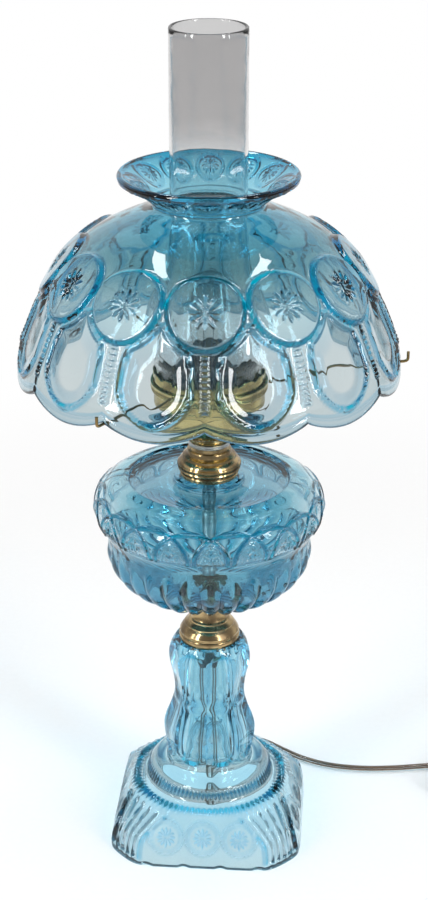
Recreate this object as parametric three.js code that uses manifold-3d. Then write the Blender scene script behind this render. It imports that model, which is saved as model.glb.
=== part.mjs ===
// Electric table lamp in pressed blue glass with brass fittings.
// Millimetres, +Z up. The origin is the middle of the square foot, on the table. The front faces -Y.
// An azimuth is measured from the front (-Y) towards +X.

import * as THREE from "three";
import { mergeVertices } from "three/addons/utils/BufferGeometryUtils.js";
import Module from "manifold-3d";

const wasm = await Module();
wasm.setup();

// Clearances

const seat = 0.3; // between two pieces that touch
const overrun = 1; // how far a cutter runs past the wall it cuts
const weldDistance = 1e-4; // corners nearer than this are one

// The burner with its shade, and the font, are each turned on the rod, a little away from the foot's faces.

const upperTurnDegrees = 3.3;
const fontTurnDegrees = 5.4;

// Pedestal: a hollow square foot with cut corners, and a waisted stem with eight panels

const footHalfWidth = 69.2;
const footCrestHeight = 38.6;
const footWall = 5;
const footRimWidth = 5;
const discRadius = 45;
const discLowerHeight = 44;
const discUpperHeight = 54;
const stemFootRadius = 30.8;
const stemRadius = 33.1;
const stemFootHeight = 60;
const pedestalHeight = 152.4;
const stemTopThickness = 6;
const stemBoreFootRadius = 21;
const stemBoreTopRadius = 13;
const cordNotchRadius = 3.6;

// Threaded rod that clamps the lamp together, its nuts and washers

const rodRadius = 4.75;
const rodBoreRadius = 3.2;
const rodClearance = 0.4;
const rodBelowStemTop = 17.5;
const rodAboveBowlFloor = 7.6;
const nutAcrossFlats = 15;
const nutThickness = 4.6;
const washerThickness = 1.4;
const stemWasherRadius = 10.5;
const fontWasherRadius = 13;
const bushingLength = 5;
const bushingWall = 1.2;

// Bell connector between the stem and the font

const bellHeight = 35.5;
const bellRadius = 21.5;
const bellNeckRadius = 12;
const bellWall = 1.2;

// Font: a hollow bowl with a ribbed belly and a banded shoulder

const fontHeight = 91.7;
const fontRadius = 79.5;
const fontWall = 5;
const fontTopHoleRadius = 14;
const fontRibCount = 30;
const fontRibDepth = 2.2;

// Font collar and check ring

const collarHeight = 22.5;
const collarRadius = 22;
const collarWall = 1.4;
const checkRingHeight = 3;
const checkRingRadius = 14.2;
const checkRingWidth = 3;

// Burner: bowl, gallery and deck

const bowlHeight = 27.3;
const bowlTopRadius = 34.6;
const bowlFootRadius = 13.6;
const bowlWall = 1.3;
const galleryRadius = 37.4;
const galleryWall = 0.8;
const galleryHeight = 24.6;
const galleryFlangeWidth = 7;
const galleryFlangeThickness = 1;
const galleryBeadHeight = 11;
const galleryBeadReach = 2;
const galleryBeadThickness = 1.3;
const galleryFluteCount = 16;
const galleryFluteDepth = 0.5;
const deckThickness = 1;

// Chimney

const chimneyHeight = 251.4;
const chimneyRadius = 25.4;
const chimneyFitterRadius = 36.1;
const chimneyBulgeRadius = 40.4;
const chimneyWall = 2;

// Shade holder: a ring and three wire arms, each with an upturned hook

const holderRingWall = 1.6;
const holderRingHeight = 4;
const holderArmCount = 3;
const holderFirstAzimuthDegrees = -30;
const armWireRadius = 1;
const hookClearance = 3.5; // between a hook and the shade's edge
const armHookHeight = 7;
const armFirstStep = 3.6;
const armSecondStep = 7.4;
const armEndRise = 4.2;

// Shade: crown, neck and scalloped dome

const shadeRepeats = 12;
const shadeWall = 4.4;
const shadeEdgeRadius = 128.5;
const shadeEdgeToNeck = 106;
const shadeNeckRadius = 37;
const crownRadius = 59.5;
const crownHeight = 21.5;
const lobeDrop = 9;
const lobeFade = 34;
const roundelRadius = 25;
const roundelRaise = 1.2;
const roundelHeightShare = 0.66;

// Socket, switch and key

const socketRadius = 16.2;
const socketWall = 0.7;
const socketHeight = 39;
const socketFloor = 1;
const linerWall = 0.8;
const screwShellWall = 0.6;
const switchBlockHeight = 13.4;
const contactRadius = 4.2;
const contactThickness = 1;
const keyHeight = 17.6;
const keyShaftRadius = 1.5;
const keyClearance = 0.35;
const keyWheelRadius = 6.5;
const keyWheelThickness = 2.2;
const keyWheelDistance = 45;
const keyTeeth = 12;
const keyToothDepth = 0.5;

// Bulb

const bulbCapRadius = 13;
const bulbCapWall = 0.5;
const bulbCapHeight = 17.5;
const bulbGlassRadius = 15.5;
const bulbGlassHeight = 91;
const bulbGlassWall = 0.9;
const bulbMountRadius = 4;
const bulbMountHeight = 26;
const filamentRadius = 0.35;
const filamentHeight = 44;
const filamentSpread = 4.5;

// Cord, coil, tie and plug

const cordRadius = 2.5;
const cordInnerDrop = 30;
const cordRestHeight = 2.6;
const coilX = 212.4;
const coilY = 41.2;
const coilInnerRadius = 22.4;
const coilOuterRadius = 34.8;
const coilTurns = 8.25;
const coilLayers = 4;
const coilLayerRise = 5.5;
const coilRestHeight = 3.9;
const tieWidth = 6;
const tieThickness = 0.8;
const tieAzimuthDegrees = 200;
const plugLength = 30;
const plugWidth = 23;
const plugHeight = 13.6;
const plugRearShare = 0.5;
const plugTurnDegrees = -6;
const plugRestGap = 0.3;
const bladeLength = 16;
const bladeWidth = 6.3;
const bladeThickness = 1.5;
const bladeSpacing = 12.7;

// Counts of flat faces round a piece, and of steps along a tube

const pedestalFaces = 32;
const shadeFacesPerRepeat = 4;
const roundFaces = 24;
const smallFaces = 16;
const nutFaces = 12;
const wireFaces = 6;
const cordFaces = 8;
const coilFaces = 6;
const coilStepsPerTurn = 24;
const innerCordSteps = 30;
const runSteps = 26;
const tailSteps = 12;
const filamentSteps = 20;

// Materials

const paleBlueGlass = glass(0x9fd3e6, "pale blue glass");
const clearGlass = glass(0xd8dcdd, "clear glass");
const brass = metal(0x9c7a3c, 0.28, "brass");
const darkBrass = metal(0x6b5730, 0.4, "dark brass");
const steel = metal(0x9a9c9c, 0.35, "plated steel");
const phenolic = plain(0x1c1a18, 0.5, "black phenolic");
const paperboard = plain(0x8c7658, 0.9, "paperboard");
const clearPlastic = plain(0xb4b8b8, 0.3, "clear plastic");

function glass(color, name) {
  const look = { color, name, roughness: 0.06, metalness: 0, transparent: true, opacity: 0.5 };
  return new THREE.MeshStandardMaterial(look);
}

function metal(color, roughness, name) {
  return new THREE.MeshStandardMaterial({ color, name, roughness, metalness: 1 });
}

function plain(color, roughness, name) {
  return new THREE.MeshStandardMaterial({ color, name, roughness, metalness: 0 });
}

// Helpers for shapes

const radians = THREE.MathUtils.degToRad;

// One closed surface: shared corners are merged and triangles that shrank to a line are dropped.
function closed(geometry) {
  for (const name of ["normal", "uv"]) {
    geometry.deleteAttribute(name);
  }
  const merged = mergeVertices(geometry, weldDistance);
  const kept = [];
  const index = merged.index.array;
  for (let i = 0; i < index.length; i += 3) {
    const [a, b, c] = index.subarray(i, i + 3);
    if (a !== b && b !== c && c !== a) {
      kept.push(a, b, c);
    }
  }
  merged.setIndex(kept);
  return merged;
}

// A solid of revolution about Z from [radius, height] points: up the outside, and down the inside.
// place(point, azimuth, index) may answer another radius, height or azimuth.
function turned(line, segments, place) {
  const loop = line[0][0] === 0 ? line : [...line, line[0]];
  const outline = loop.map(([radius, height]) => new THREE.Vector2(radius, height));
  const geometry = new THREE.LatheGeometry(outline, segments);
  geometry.rotateX(Math.PI / 2);
  if (place) {
    const position = geometry.getAttribute("position");
    for (let i = 0; i <= segments; i++) {
      const azimuth = ((i % segments) / segments) * 2 * Math.PI;
      loop.forEach((point, j) => {
        const [radius, height, at = azimuth] = place(point, azimuth, j % line.length);
        position.setXYZ(i * loop.length + j, radius * Math.sin(at), -radius * Math.cos(at), height);
      });
    }
  }
  return closed(geometry);
}

// A line moved towards the material's inner side by a wall.
function inset(line, wall) {
  return line.map(([radius, height], i) => {
    const [r0, h0] = line[Math.max(i - 1, 0)];
    const [r1, h1] = line[Math.min(i + 1, line.length - 1)];
    const length = Math.hypot(r1 - r0, h1 - h0);
    return [radius - (wall * (h1 - h0)) / length, height + (wall * (r1 - r0)) / length];
  });
}

// A skin: the line is its outside from its lower rim to its upper rim, and each rim is cut level.
function skin(line, wall) {
  const inner = inset(line, wall).reverse();
  inner[0][1] = line.at(-1)[1];
  inner.at(-1)[1] = line[0][1];
  return [...line, ...inner];
}

function ring(innerRadius, outerRadius, low, high) {
  return [
    [outerRadius, low],
    [outerRadius, high],
    [innerRadius, high],
    [innerRadius, low],
  ];
}

// Points [radius share, height share] between two radii and two heights.
function shaped(shares, radius0, radius1, height0, height1) {
  return shares.map(([r, h]) => [radius0 + r * (radius1 - radius0), height0 + h * (height1 - height0)]);
}

// The distance from the middle of a regular polygon to its side, over the distance to its flat.
function polygonShare(azimuth, sides, cornerFirst) {
  const step = (2 * Math.PI) / sides;
  const turnedBy = cornerFirst ? 0 : step / 2;
  const within = (((azimuth + turnedBy) % step) + step) % step;
  return 1 / Math.cos(within - step / 2);
}

function solidOf(geometry) {
  const vertProperties = new Float32Array(geometry.getAttribute("position").array);
  const triVerts = new Uint32Array(geometry.index.array);
  return new wasm.Manifold(new wasm.Mesh({ numProp: 3, vertProperties, triVerts }));
}

function geometryOf(solid) {
  const { vertProperties, triVerts } = solid.getMesh();
  const geometry = new THREE.BufferGeometry();
  geometry.setAttribute("position", new THREE.BufferAttribute(vertProperties, 3));
  geometry.setIndex(new THREE.BufferAttribute(triVerts, 1));
  return geometry;
}

function cut(geometry, ...cutters) {
  let solid = solidOf(geometry);
  for (const cutter of cutters) {
    solid = solid.subtract(solidOf(closed(cutter)));
  }
  return geometryOf(solid);
}

// A round bar along an azimuth at a height, from one distance from the axis to another.
function radialBar(radius, azimuth, height, from, to, segments) {
  const bar = new THREE.CylinderGeometry(radius, radius, to - from, segments);
  bar.translate(0, -(from + to) / 2, 0);
  bar.rotateZ(azimuth);
  bar.translate(0, 0, height);
  return bar;
}

function polygon(radius, sides) {
  const corners = Array.from({ length: sides }, (_, i) => {
    const angle = ((i + 1 / 2) / sides) * 2 * Math.PI;
    return new THREE.Vector2(radius * Math.cos(angle), radius * Math.sin(angle));
  });
  return new THREE.Shape(corners);
}

function tube(curve, radius, sides, steps) {
  return closed(new THREE.ExtrudeGeometry(polygon(radius, sides), { steps, extrudePath: curve }));
}

function point(azimuth, radius, height) {
  return new THREE.Vector3(radius * Math.sin(azimuth), -radius * Math.cos(azimuth), height);
}

// A tube with a ring of corners at each point, closed at both ends.
// sideOf(along) answers the way to a ring's side.
function ringTube(points, radius, faces, sideOf) {
  const corners = [];
  points.forEach((centre, i) => {
    const before = points[Math.max(i - 1, 0)];
    const after = points[Math.min(i + 1, points.length - 1)];
    const along = after.clone().sub(before).normalize();
    const side = sideOf(along);
    const over = new THREE.Vector3().crossVectors(side, along);
    for (let k = 0; k < faces; k++) {
      const angle = ((k + 1 / 2) / faces) * 2 * Math.PI;
      const corner = centre.clone().addScaledVector(side, radius * Math.cos(angle));
      corners.push(...corner.addScaledVector(over, radius * Math.sin(angle)).toArray());
    }
  });
  const first = points.length * faces;
  const last = first - faces;
  corners.push(...points[0].toArray(), ...points.at(-1).toArray());
  const index = [];
  for (let k = 0; k < faces; k++) {
    const next = (k + 1) % faces;
    for (let row = 0; row < last; row += faces) {
      index.push(row + k, row + k + faces, row + next + faces, row + k, row + next + faces, row + next);
    }
    index.push(first, k, next, first + 1, last + next, last + k);
  }
  const geometry = new THREE.BufferGeometry();
  geometry.setAttribute("position", new THREE.Float32BufferAttribute(corners, 3));
  geometry.setIndex(index);
  return geometry;
}

// Heights up the stack, each from the piece that carries it

const bellBottom = pedestalHeight + seat;
const bellTop = bellBottom + bellHeight;
const fontBottom = bellTop + seat;
const fontTop = fontBottom + fontHeight;
const collarBottom = fontTop + seat;
const collarTop = collarBottom + collarHeight;
const checkRingBottom = collarTop + seat;
const bowlBottom = checkRingBottom + checkRingHeight + seat;
const bowlTop = bowlBottom + bowlHeight;
const bowlFloor = bowlBottom + bowlWall;
const galleryBottom = bowlTop + seat;
const flangeTop = galleryBottom + galleryFlangeThickness;
const rodHole = rodRadius + rodClearance;
const rodBottom = pedestalHeight - rodBelowStemTop;
const rodTop = bowlFloor + rodAboveBowlFloor;

const lamp = new THREE.Group();
const upper = new THREE.Group();
upper.rotation.z = radians(upperTurnDegrees);
lamp.add(upper);

function add(parent, name, geometry, material) {
  const mesh = new THREE.Mesh(geometry, material.clone());
  mesh.name = name;
  parent.add(mesh);
  return mesh;
}

// Pedestal

// The foot's outer skin: face distance and height as shares of the foot, and the diagonal over the face.
const footShares = [
  [1, 0, 1.198],
  [0.982, 0.27, 1.21],
  [0.945, 0.52, 1.2],
  [0.885, 0.77, 1.12],
  [0.79, 1, 1.035],
];
const dishShares = [[0, 0.8]];
const discShares = [
  [0, 0],
  [0.12, 0.5],
  [0.5, 0.92],
  [0.84, 1],
];
// The stem's edge radius over its largest, and the height between its foot and its top.
const stemShares = [
  [0.93, 0],
  [0.98, 0.1],
  [1, 0.216],
  [0.95, 0.3],
  [0.83, 0.41],
  [0.755, 0.52],
  [0.79, 0.65],
  [0.86, 0.76],
  [0.882, 0.83],
  [0.864, 0.9],
  [0.801, 0.965],
  [0.74, 1],
];
const boreShares = [
  [0, 1],
  [0.3, 0.6],
  [1, 0],
];

function pedestalOutline() {
  const crest = footHalfWidth * footShares.at(-1)[0];
  const foot = footShares.map(([r, h, corner]) => [r * footHalfWidth, h * footCrestHeight, corner]);
  const dish = shaped(dishShares, discRadius, crest, footCrestHeight, discLowerHeight);
  const disc = shaped(discShares, discRadius, stemFootRadius, discLowerHeight, discUpperHeight);
  const stem = stemShares.map(([r, h]) => {
    return [r * stemRadius, stemFootHeight + h * (pedestalHeight - stemFootHeight), "panel"];
  });
  const rodHoleEdges = [
    [rodHole, pedestalHeight],
    [rodHole, pedestalHeight - stemTopThickness],
  ];
  const boreTop = pedestalHeight - stemTopThickness;
  const bore = shaped(boreShares, stemBoreTopRadius, stemBoreFootRadius, discUpperHeight, boreTop);
  const innerDisc = [[discRadius - footWall, discLowerHeight - footWall]];
  const innerFoot = foot.slice(1).reverse().map(([r, h, corner]) => {
    return [r - footWall, h - footWall * (h / footCrestHeight), corner];
  });
  const rim = [[footHalfWidth - footRimWidth, 0, footShares[0][2]]];
  return [...foot, ...dish, ...disc, ...stem, ...rodHoleEdges, ...bore, ...innerDisc, ...innerFoot, ...rim];
}

// The face that lies half way from the middle of a side to the middle of a corner is bent to where they meet.
function footAzimuth(azimuth, corner) {
  const quarter = Math.PI / 2;
  const side = Math.round(azimuth / quarter) * quarter;
  const off = azimuth - side;
  const cornerAt = Math.atan(corner * Math.SQRT2 - 1);
  const evenAt = quarter / 4;
  const size = Math.abs(off);
  const bent =
    size <= evenAt
      ? (size / evenAt) * cornerAt
      : cornerAt + ((size - evenAt) / (quarter / 2 - evenAt)) * (quarter / 2 - cornerAt);
  return side + Math.sign(off) * bent;
}

function placePedestal([radius, height, form], azimuth) {
  if (form === "panel") {
    const flat = Math.cos(Math.PI / 8);
    return [radius * flat * polygonShare(azimuth, 8, true), height];
  }
  if (form === undefined) {
    return [radius, height];
  }
  const at = footAzimuth(azimuth, form);
  const side = Math.abs(at - (Math.round(at / (Math.PI / 2)) * Math.PI) / 2);
  return [radius / Math.max(Math.cos(side), Math.cos(Math.PI / 4 - side) / form), height, at];
}

function pedestal() {
  const notch = radialBar(
    cordNotchRadius,
    Math.PI,
    cordRestHeight,
    footHalfWidth - footRimWidth - 4 * overrun,
    footHalfWidth + 2 * overrun,
    nutFaces,
  );
  return cut(turned(pedestalOutline(), pedestalFaces, placePedestal), notch);
}

add(lamp, "pedestal", pedestal(), paleBlueGlass);

// Rod, nuts, washers and bushing

function nut(low) {
  const hole = rodHole;
  const line = ring(hole, nutAcrossFlats / 2, low, low + nutThickness);
  return turned(line, nutFaces, ([radius, height], azimuth) => {
    return [radius === hole ? radius : radius * polygonShare(azimuth, 6, false), height];
  });
}

const stemWasherLow = pedestalHeight - stemTopThickness - seat - washerThickness;
const stemNutLow = stemWasherLow - seat - nutThickness;
const fontFloor = fontBottom + fontWall;
const fontWasherLow = fontFloor + seat;
const fontNutLow = fontWasherLow + washerThickness + seat;
const bowlNutLow = bowlFloor + seat;

function washer(radius, low) {
  return turned(ring(rodHole, radius, low, low + washerThickness), smallFaces);
}

add(lamp, "threaded_rod", turned(ring(rodBoreRadius, rodRadius, rodBottom, rodTop), smallFaces), steel);
add(lamp, "stem_washer", washer(stemWasherRadius, stemWasherLow), brass);
add(lamp, "stem_nut", nut(stemNutLow), brass);
add(lamp, "font_washer", washer(fontWasherRadius, fontWasherLow), brass);
add(lamp, "font_nut", nut(fontNutLow), brass);
add(lamp, "burner_nut", nut(bowlNutLow), brass);

function rodBushing() {
  const top = rodBottom - seat;
  const low = top - bushingLength;
  return turned(ring(rodBoreRadius, rodBoreRadius + bushingWall, low, top), nutFaces);
}

add(lamp, "rod_bushing", rodBushing(), phenolic);

// Bell connector

const bellShares = [
  [1, 0],
  [1, 0.13],
  [0.93, 0.23],
  [0.7, 0.34],
  [0.3, 0.41],
  [0.25, 0.47],
  [0.08, 0.5],
  [0, 0.6],
  [0, 0.93],
  [0.14, 0.96],
  [0.14, 1],
];
const bellBoreShares = [
  [0, 1],
  [0, 0.51],
  [0.24, 0.43],
  [0.75, 0.31],
  [1, 0.13],
  [1, 0],
];

function bell() {
  const outside = shaped(bellShares, bellNeckRadius, bellRadius, bellBottom, bellTop);
  const neckBore = bellNeckRadius - bellWall;
  const inside = shaped(bellBoreShares, neckBore, bellRadius - bellWall, bellBottom, bellTop);
  return turned([...outside, ...inside], roundFaces);
}

add(lamp, "bell_connector", bell(), brass);

// Font

const fontShares = [
  [0.33, 0],
  [0.5, 0.035],
  [0.68, 0.11],
  [0.8, 0.2],
  [0.88, 0.31],
  [0.9, 0.4],
  [0.885, 0.52],
  [0.93, 0.61],
  [0.98, 0.675],
  [1, 0.76],
  [0.965, 0.87],
  [0.83, 0.965],
  [0.55, 1],
];
const fontBoreShares = [
  [0.8, 0.97],
  [0.99, 0.8],
  [0.87, 0.51],
  [0.875, 0.36],
  [0.64, 0.11],
  [0.3, 0],
];
// How deep the belly's flutes are at each of the font's outside points, from the bottom up.
const fontRibShares = [0, 0.6, 1, 1, 1, 0.8];

function fontOutline() {
  const boreTop = fontTop - fontWall;
  return [
    ...shaped(fontShares, 0, fontRadius, fontBottom, fontTop),
    [fontTopHoleRadius, fontTop],
    [fontTopHoleRadius, boreTop],
    ...shaped(fontBoreShares, 0, fontRadius - fontWall, fontFloor, boreTop),
    [rodHole, fontFloor],
    [rodHole, fontBottom],
  ];
}

function placeFont([radius, height], azimuth, index) {
  const depth = fontRibDepth * (fontRibShares[index] ?? 0);
  const onCrest = Math.round((azimuth / Math.PI) * fontRibCount) % 2 === 0;
  return [onCrest ? radius : radius - depth, height];
}

const font = add(lamp, "font", turned(fontOutline(), 2 * fontRibCount, placeFont), paleBlueGlass);
font.rotation.z = radians(fontTurnDegrees);

// Collar and check ring

const collarShares = [
  [0.9, 0],
  [0.9, 0.13],
  [0.87, 0.17],
  [1, 0.3],
  [1, 0.45],
  [0.86, 0.58],
  [0.84, 0.67],
  [0.71, 0.71],
  [0.7, 0.84],
  [0.62, 0.88],
  [0.62, 1],
];
const collarBoreShares = [
  [0.6, 1],
  [0.6, 0.78],
  [0.82, 0.6],
  [0.86, 0],
];

function collar() {
  const outside = shaped(collarShares, 0, collarRadius, collarBottom, collarTop);
  const inside = shaped(collarBoreShares, 0, collarRadius - collarWall, collarBottom, collarTop);
  return turned([...outside, ...inside], roundFaces);
}

add(upper, "font_collar", collar(), brass);
const checkRingTop = checkRingBottom + checkRingHeight;
const checkRingLine = ring(checkRingRadius - checkRingWidth, checkRingRadius, checkRingBottom, checkRingTop);
add(upper, "check_ring", turned(checkRingLine, roundFaces), steel);

// Burner bowl, gallery and deck

const keyAzimuth = Math.PI / 2;
const keyAt = bowlBottom + keyHeight;
const keyBore = keyShaftRadius + keyClearance;
const bowlShares = [
  [0, 0],
  [0.05, 0.1],
  [0.42, 0.26],
  [0.76, 0.46],
  [0.95, 0.75],
  [1, 1],
];

function bowl() {
  const outside = shaped(bowlShares, bowlFootRadius, bowlTopRadius, bowlBottom, bowlTop);
  const inside = inset(outside, bowlWall).reverse();
  inside[0][1] = bowlTop;
  inside.splice(-1, 1, [bowlFootRadius - bowlWall, bowlFloor]);
  const line = [...outside, ...inside, [rodHole, bowlFloor], [rodHole, bowlBottom]];
  const from = socketRadius + overrun;
  const shaftHole = radialBar(keyBore, keyAzimuth, keyAt, from, bowlTopRadius + overrun, nutFaces);
  return cut(turned(line, roundFaces), shaftHole);
}

add(upper, "burner_bowl", bowl(), brass);

function gallery() {
  const outer = galleryRadius;
  const inner = galleryRadius - galleryWall;
  const bead = galleryBottom + galleryBeadHeight;
  const top = galleryBottom + galleryHeight;
  const flangeInner = galleryRadius - galleryFlangeWidth;
  const fluteLow = bead + galleryBeadThickness + holderRingHeight + 2 * seat;
  const line = [
    [outer, galleryBottom],
    [outer, bead - galleryBeadReach],
    [outer + galleryBeadReach, bead],
    [outer + galleryBeadReach, bead + galleryBeadThickness],
    [outer, bead + galleryBeadThickness],
    [outer, fluteLow],
    [outer, top],
    [inner, top],
    [inner, fluteLow],
    [inner, flangeTop],
    [flangeInner, flangeTop],
    [flangeInner, galleryBottom],
  ];
  return turned(line, 2 * galleryFluteCount, ([radius, height], azimuth) => {
    const onFlute = Math.round((azimuth / Math.PI) * galleryFluteCount) % 2 === 0;
    return [height > fluteLow && onFlute ? radius + galleryFluteDepth : radius, height];
  });
}

add(upper, "burner_gallery", gallery(), brass);

const chimneyBottom = flangeTop + seat;
const deckOuter = chimneyFitterRadius - chimneyWall - seat;
const deckLine = ring(socketRadius + seat, deckOuter, flangeTop + seat, flangeTop + seat + deckThickness);
add(upper, "burner_deck", turned(deckLine, roundFaces), brass);

// Chimney

// Above the fitter the glass swells to its bulge and draws in to the tube.
const chimneySwellShares = [
  [0, 0.1],
  [0.75, 0.13],
  [1, 0.17],
];
const chimneyDrawShares = [
  [0.9, 0.22],
  [0.55, 0.29],
  [0.23, 0.35],
  [0.04, 0.42],
  [0, 0.5],
];
const chimneyTop = chimneyBottom + chimneyHeight;

function chimney() {
  const outside = [
    [chimneyFitterRadius, chimneyBottom],
    ...shaped(chimneySwellShares, chimneyFitterRadius, chimneyBulgeRadius, chimneyBottom, chimneyTop),
    ...shaped(chimneyDrawShares, chimneyRadius, chimneyBulgeRadius, chimneyBottom, chimneyTop),
    [chimneyRadius, chimneyTop],
  ];
  return turned(skin(outside, chimneyWall), roundFaces);
}

add(upper, "chimney", chimney(), clearGlass);

// Shade holder

const holderRingInner = galleryRadius + galleryFluteDepth + seat;
const holderRingOuter = holderRingInner + holderRingWall;
const holderRingLow = galleryBottom + galleryBeadHeight + galleryBeadThickness + seat;
const armLow = holderRingLow + holderRingHeight / 2;
const armHigh = armLow + armFirstStep + armSecondStep + armEndRise;
const armHookRadius = shadeEdgeRadius + hookClearance + armWireRadius;
const holderRingHigh = holderRingLow + holderRingHeight;
const holderRingLine = ring(holderRingInner, holderRingOuter, holderRingLow, holderRingHigh);
add(upper, "holder_ring", turned(holderRingLine, 2 * galleryFluteCount), brass);

// Along the arm: the distance as a share of its reach, and the height.
const armFirstBendShare = 0.05;
const armSecondBendShare = 0.36;
const armStepRunShare = 0.025;
const armHookShare = 0.97;

function armCorners() {
  const start = holderRingOuter + seat;
  const reach = armHookRadius - start;
  const shelf = armLow + armFirstStep;
  const shoulder = shelf + armSecondStep;
  const corners = [
    [0, armLow],
    [armFirstBendShare, armLow],
    [armFirstBendShare + armStepRunShare, shelf],
    [armSecondBendShare, shelf],
    [armSecondBendShare + 3 * armStepRunShare, shoulder],
    [armHookShare - armStepRunShare, armHigh],
    [armHookShare, armHigh],
    [1, armHigh + armWireRadius],
    [1, armHigh + armHookHeight],
  ];
  return corners.map(([share, height]) => [start + share * reach, height]);
}

// Each corner becomes two points, a bend's length before and after it.
function eased(corners, bend) {
  return corners.flatMap((at, i) => {
    const before = corners[i - 1];
    const after = corners[i + 1];
    if (!before || !after) {
      return [at];
    }
    return [before, after].map((end) => {
      const away = end.clone().sub(at);
      return at.clone().addScaledVector(away, Math.min(bend / away.length(), 1 / 3));
    });
  });
}

function holderArm(azimuth) {
  const corners = armCorners().map(([radius, height]) => point(azimuth, radius, height));
  const across = point(azimuth + Math.PI / 2, 1, 0);
  return ringTube(eased(corners, armWireRadius), armWireRadius, wireFaces, () => across);
}

for (let i = 0; i < holderArmCount; i++) {
  const azimuth = radians(holderFirstAzimuthDegrees) + (i / holderArmCount) * 2 * Math.PI;
  add(upper, `holder_arm_${i + 1}`, holderArm(azimuth), brass);
}

// Shade

const shadeValley = armHigh + armWireRadius + seat;
const shadeEdge = shadeValley - lobeDrop;
const shadeNeckHeight = shadeEdge + shadeEdgeToNeck + lobeDrop;
// Radius between the neck and the edge, and height between the edge and the neck, up the outside.
const domeShares = [
  [1, 0],
  [0.98, 0.12],
  [0.935, 0.25],
  [0.87, 0.38],
  [0.79, 0.51],
  [0.699, 0.641],
  [0.57, 0.752],
  [0.46, 0.822],
  [0.3, 0.893],
  [0.12, 0.958],
  [0, 1],
];
const crownShares = [
  [0.02, 0.14],
  [0.2, 0.36],
  [0.5, 0.6],
  [0.82, 0.78],
  [1, 0.86],
  [1, 0.97],
];
// How much of a lobe's width hangs near its full depth: the larger, the narrower the lobe.
const lobeRoundShare = 0.8;

const shadeDome = shaped(domeShares, shadeNeckRadius, shadeEdgeRadius, shadeEdge, shadeNeckHeight);

function shadeOutline() {
  const rim = shadeNeckHeight + crownHeight;
  const outside = [...shadeDome, ...shaped(crownShares, shadeNeckRadius, crownRadius, shadeNeckHeight, rim)];
  const inside = inset(outside, shadeWall);
  inside[0] = [shadeEdgeRadius - shadeWall, shadeEdge];
  inside[inside.length - 1] = [crownRadius - shadeWall, rim];
  const kept = inside.filter((_, i) => i % 3 === 0 || i === inside.length - 1);
  return [...outside, ...kept.reverse()];
}

function radiusAt(line, height) {
  const i = Math.max(line.findIndex((end) => end[1] >= height), 1);
  const [r0, h0] = line[i - 1];
  const [r1, h1] = line[i];
  return r0 + ((height - h0) / (h1 - h0)) * (r1 - r0);
}

// The edge is highest on a rib and hangs lowest half way between two ribs.
function edgeRise(azimuth) {
  return lobeDrop * (1 - Math.abs(Math.sin((azimuth * shadeRepeats) / 2)) ** lobeRoundShare);
}

// A flat round face lies on every rib: inside its circle the dome is brought to the face's plane.
function roundelFace(azimuth, radius, height) {
  const step = (2 * Math.PI) / shadeRepeats;
  const off = azimuth - Math.round(azimuth / step) * step;
  const middle = shadeEdge + roundelHeightShare * (shadeNeckHeight - shadeEdge);
  const high = radiusAt(shadeDome, middle + roundelRadius / 2);
  const low = radiusAt(shadeDome, middle - roundelRadius / 2);
  const slope = (high - low) / roundelRadius;
  const across = radius * Math.sin(off);
  const along = (height - middle) * Math.hypot(1, slope);
  if (Math.hypot(across, along) > roundelRadius) {
    return radius;
  }
  const flat = radiusAt(shadeDome, middle) + roundelRaise + slope * (height - middle);
  return Math.max(flat / Math.cos(off), radius);
}

function placeShade([radius, height], azimuth, index) {
  const rise = edgeRise(azimuth) * Math.max(0, 1 - (height - shadeEdge) / lobeFade);
  const onDome = index < shadeDome.length;
  return [onDome ? roundelFace(azimuth, radius, height) : radius, height + rise];
}

add(upper, "shade", turned(shadeOutline(), shadeFacesPerRepeat * shadeRepeats, placeShade), paleBlueGlass);

// Socket and switch

const socketLow = bowlNutLow + nutThickness + seat;
const socketTop = socketLow + socketHeight;
const blockLow = rodTop + 2 * seat;
const blockTop = blockLow + switchBlockHeight;
const linerOuter = socketRadius - socketWall - seat;
const linerInner = linerOuter - linerWall;
const screwOuter = linerInner - seat;
const contactLow = blockTop + seat;
const capLow = contactLow + contactThickness + seat;

function socketShell() {
  const inner = socketRadius - socketWall;
  const line = [
    [socketRadius, socketLow],
    [socketRadius, socketTop],
    [inner, socketTop],
    [inner, socketLow + socketFloor],
    [rodHole, socketLow + socketFloor],
    [rodHole, socketLow],
  ];
  const hole = radialBar(keyBore, keyAzimuth, keyAt, inner - overrun, socketRadius + overrun, nutFaces);
  return cut(turned(line, roundFaces), hole);
}

function switchBlock() {
  const hole = radialBar(keyBore, keyAzimuth, keyAt, linerOuter / 2, linerOuter + overrun, nutFaces);
  return cut(turned(disc(linerOuter, blockLow, blockTop), roundFaces), hole);
}

add(upper, "socket_shell", socketShell(), brass);
add(upper, "switch_block", switchBlock(), phenolic);
const linerLine = ring(linerInner, linerOuter, contactLow, socketTop);
add(upper, "socket_liner", turned(linerLine, roundFaces), paperboard);
const screwShellLine = ring(screwOuter - screwShellWall, screwOuter, contactLow, socketTop - 2 * seat);
add(upper, "socket_screw_shell", turned(screwShellLine, roundFaces), steel);

function disc(radius, low, high) {
  return [
    [0, low],
    [radius, low],
    [radius, high],
    [0, high],
  ];
}

function contact(low) {
  return turned(disc(contactRadius, low, low + contactThickness), smallFaces);
}

add(upper, "socket_contact", contact(contactLow), brass);

// Key: a shaft with a toothed thumb wheel

function keyShaft() {
  const from = linerOuter / 2 + seat;
  return closed(radialBar(keyShaftRadius, keyAzimuth, keyAt, from, keyWheelDistance, nutFaces));
}

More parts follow.
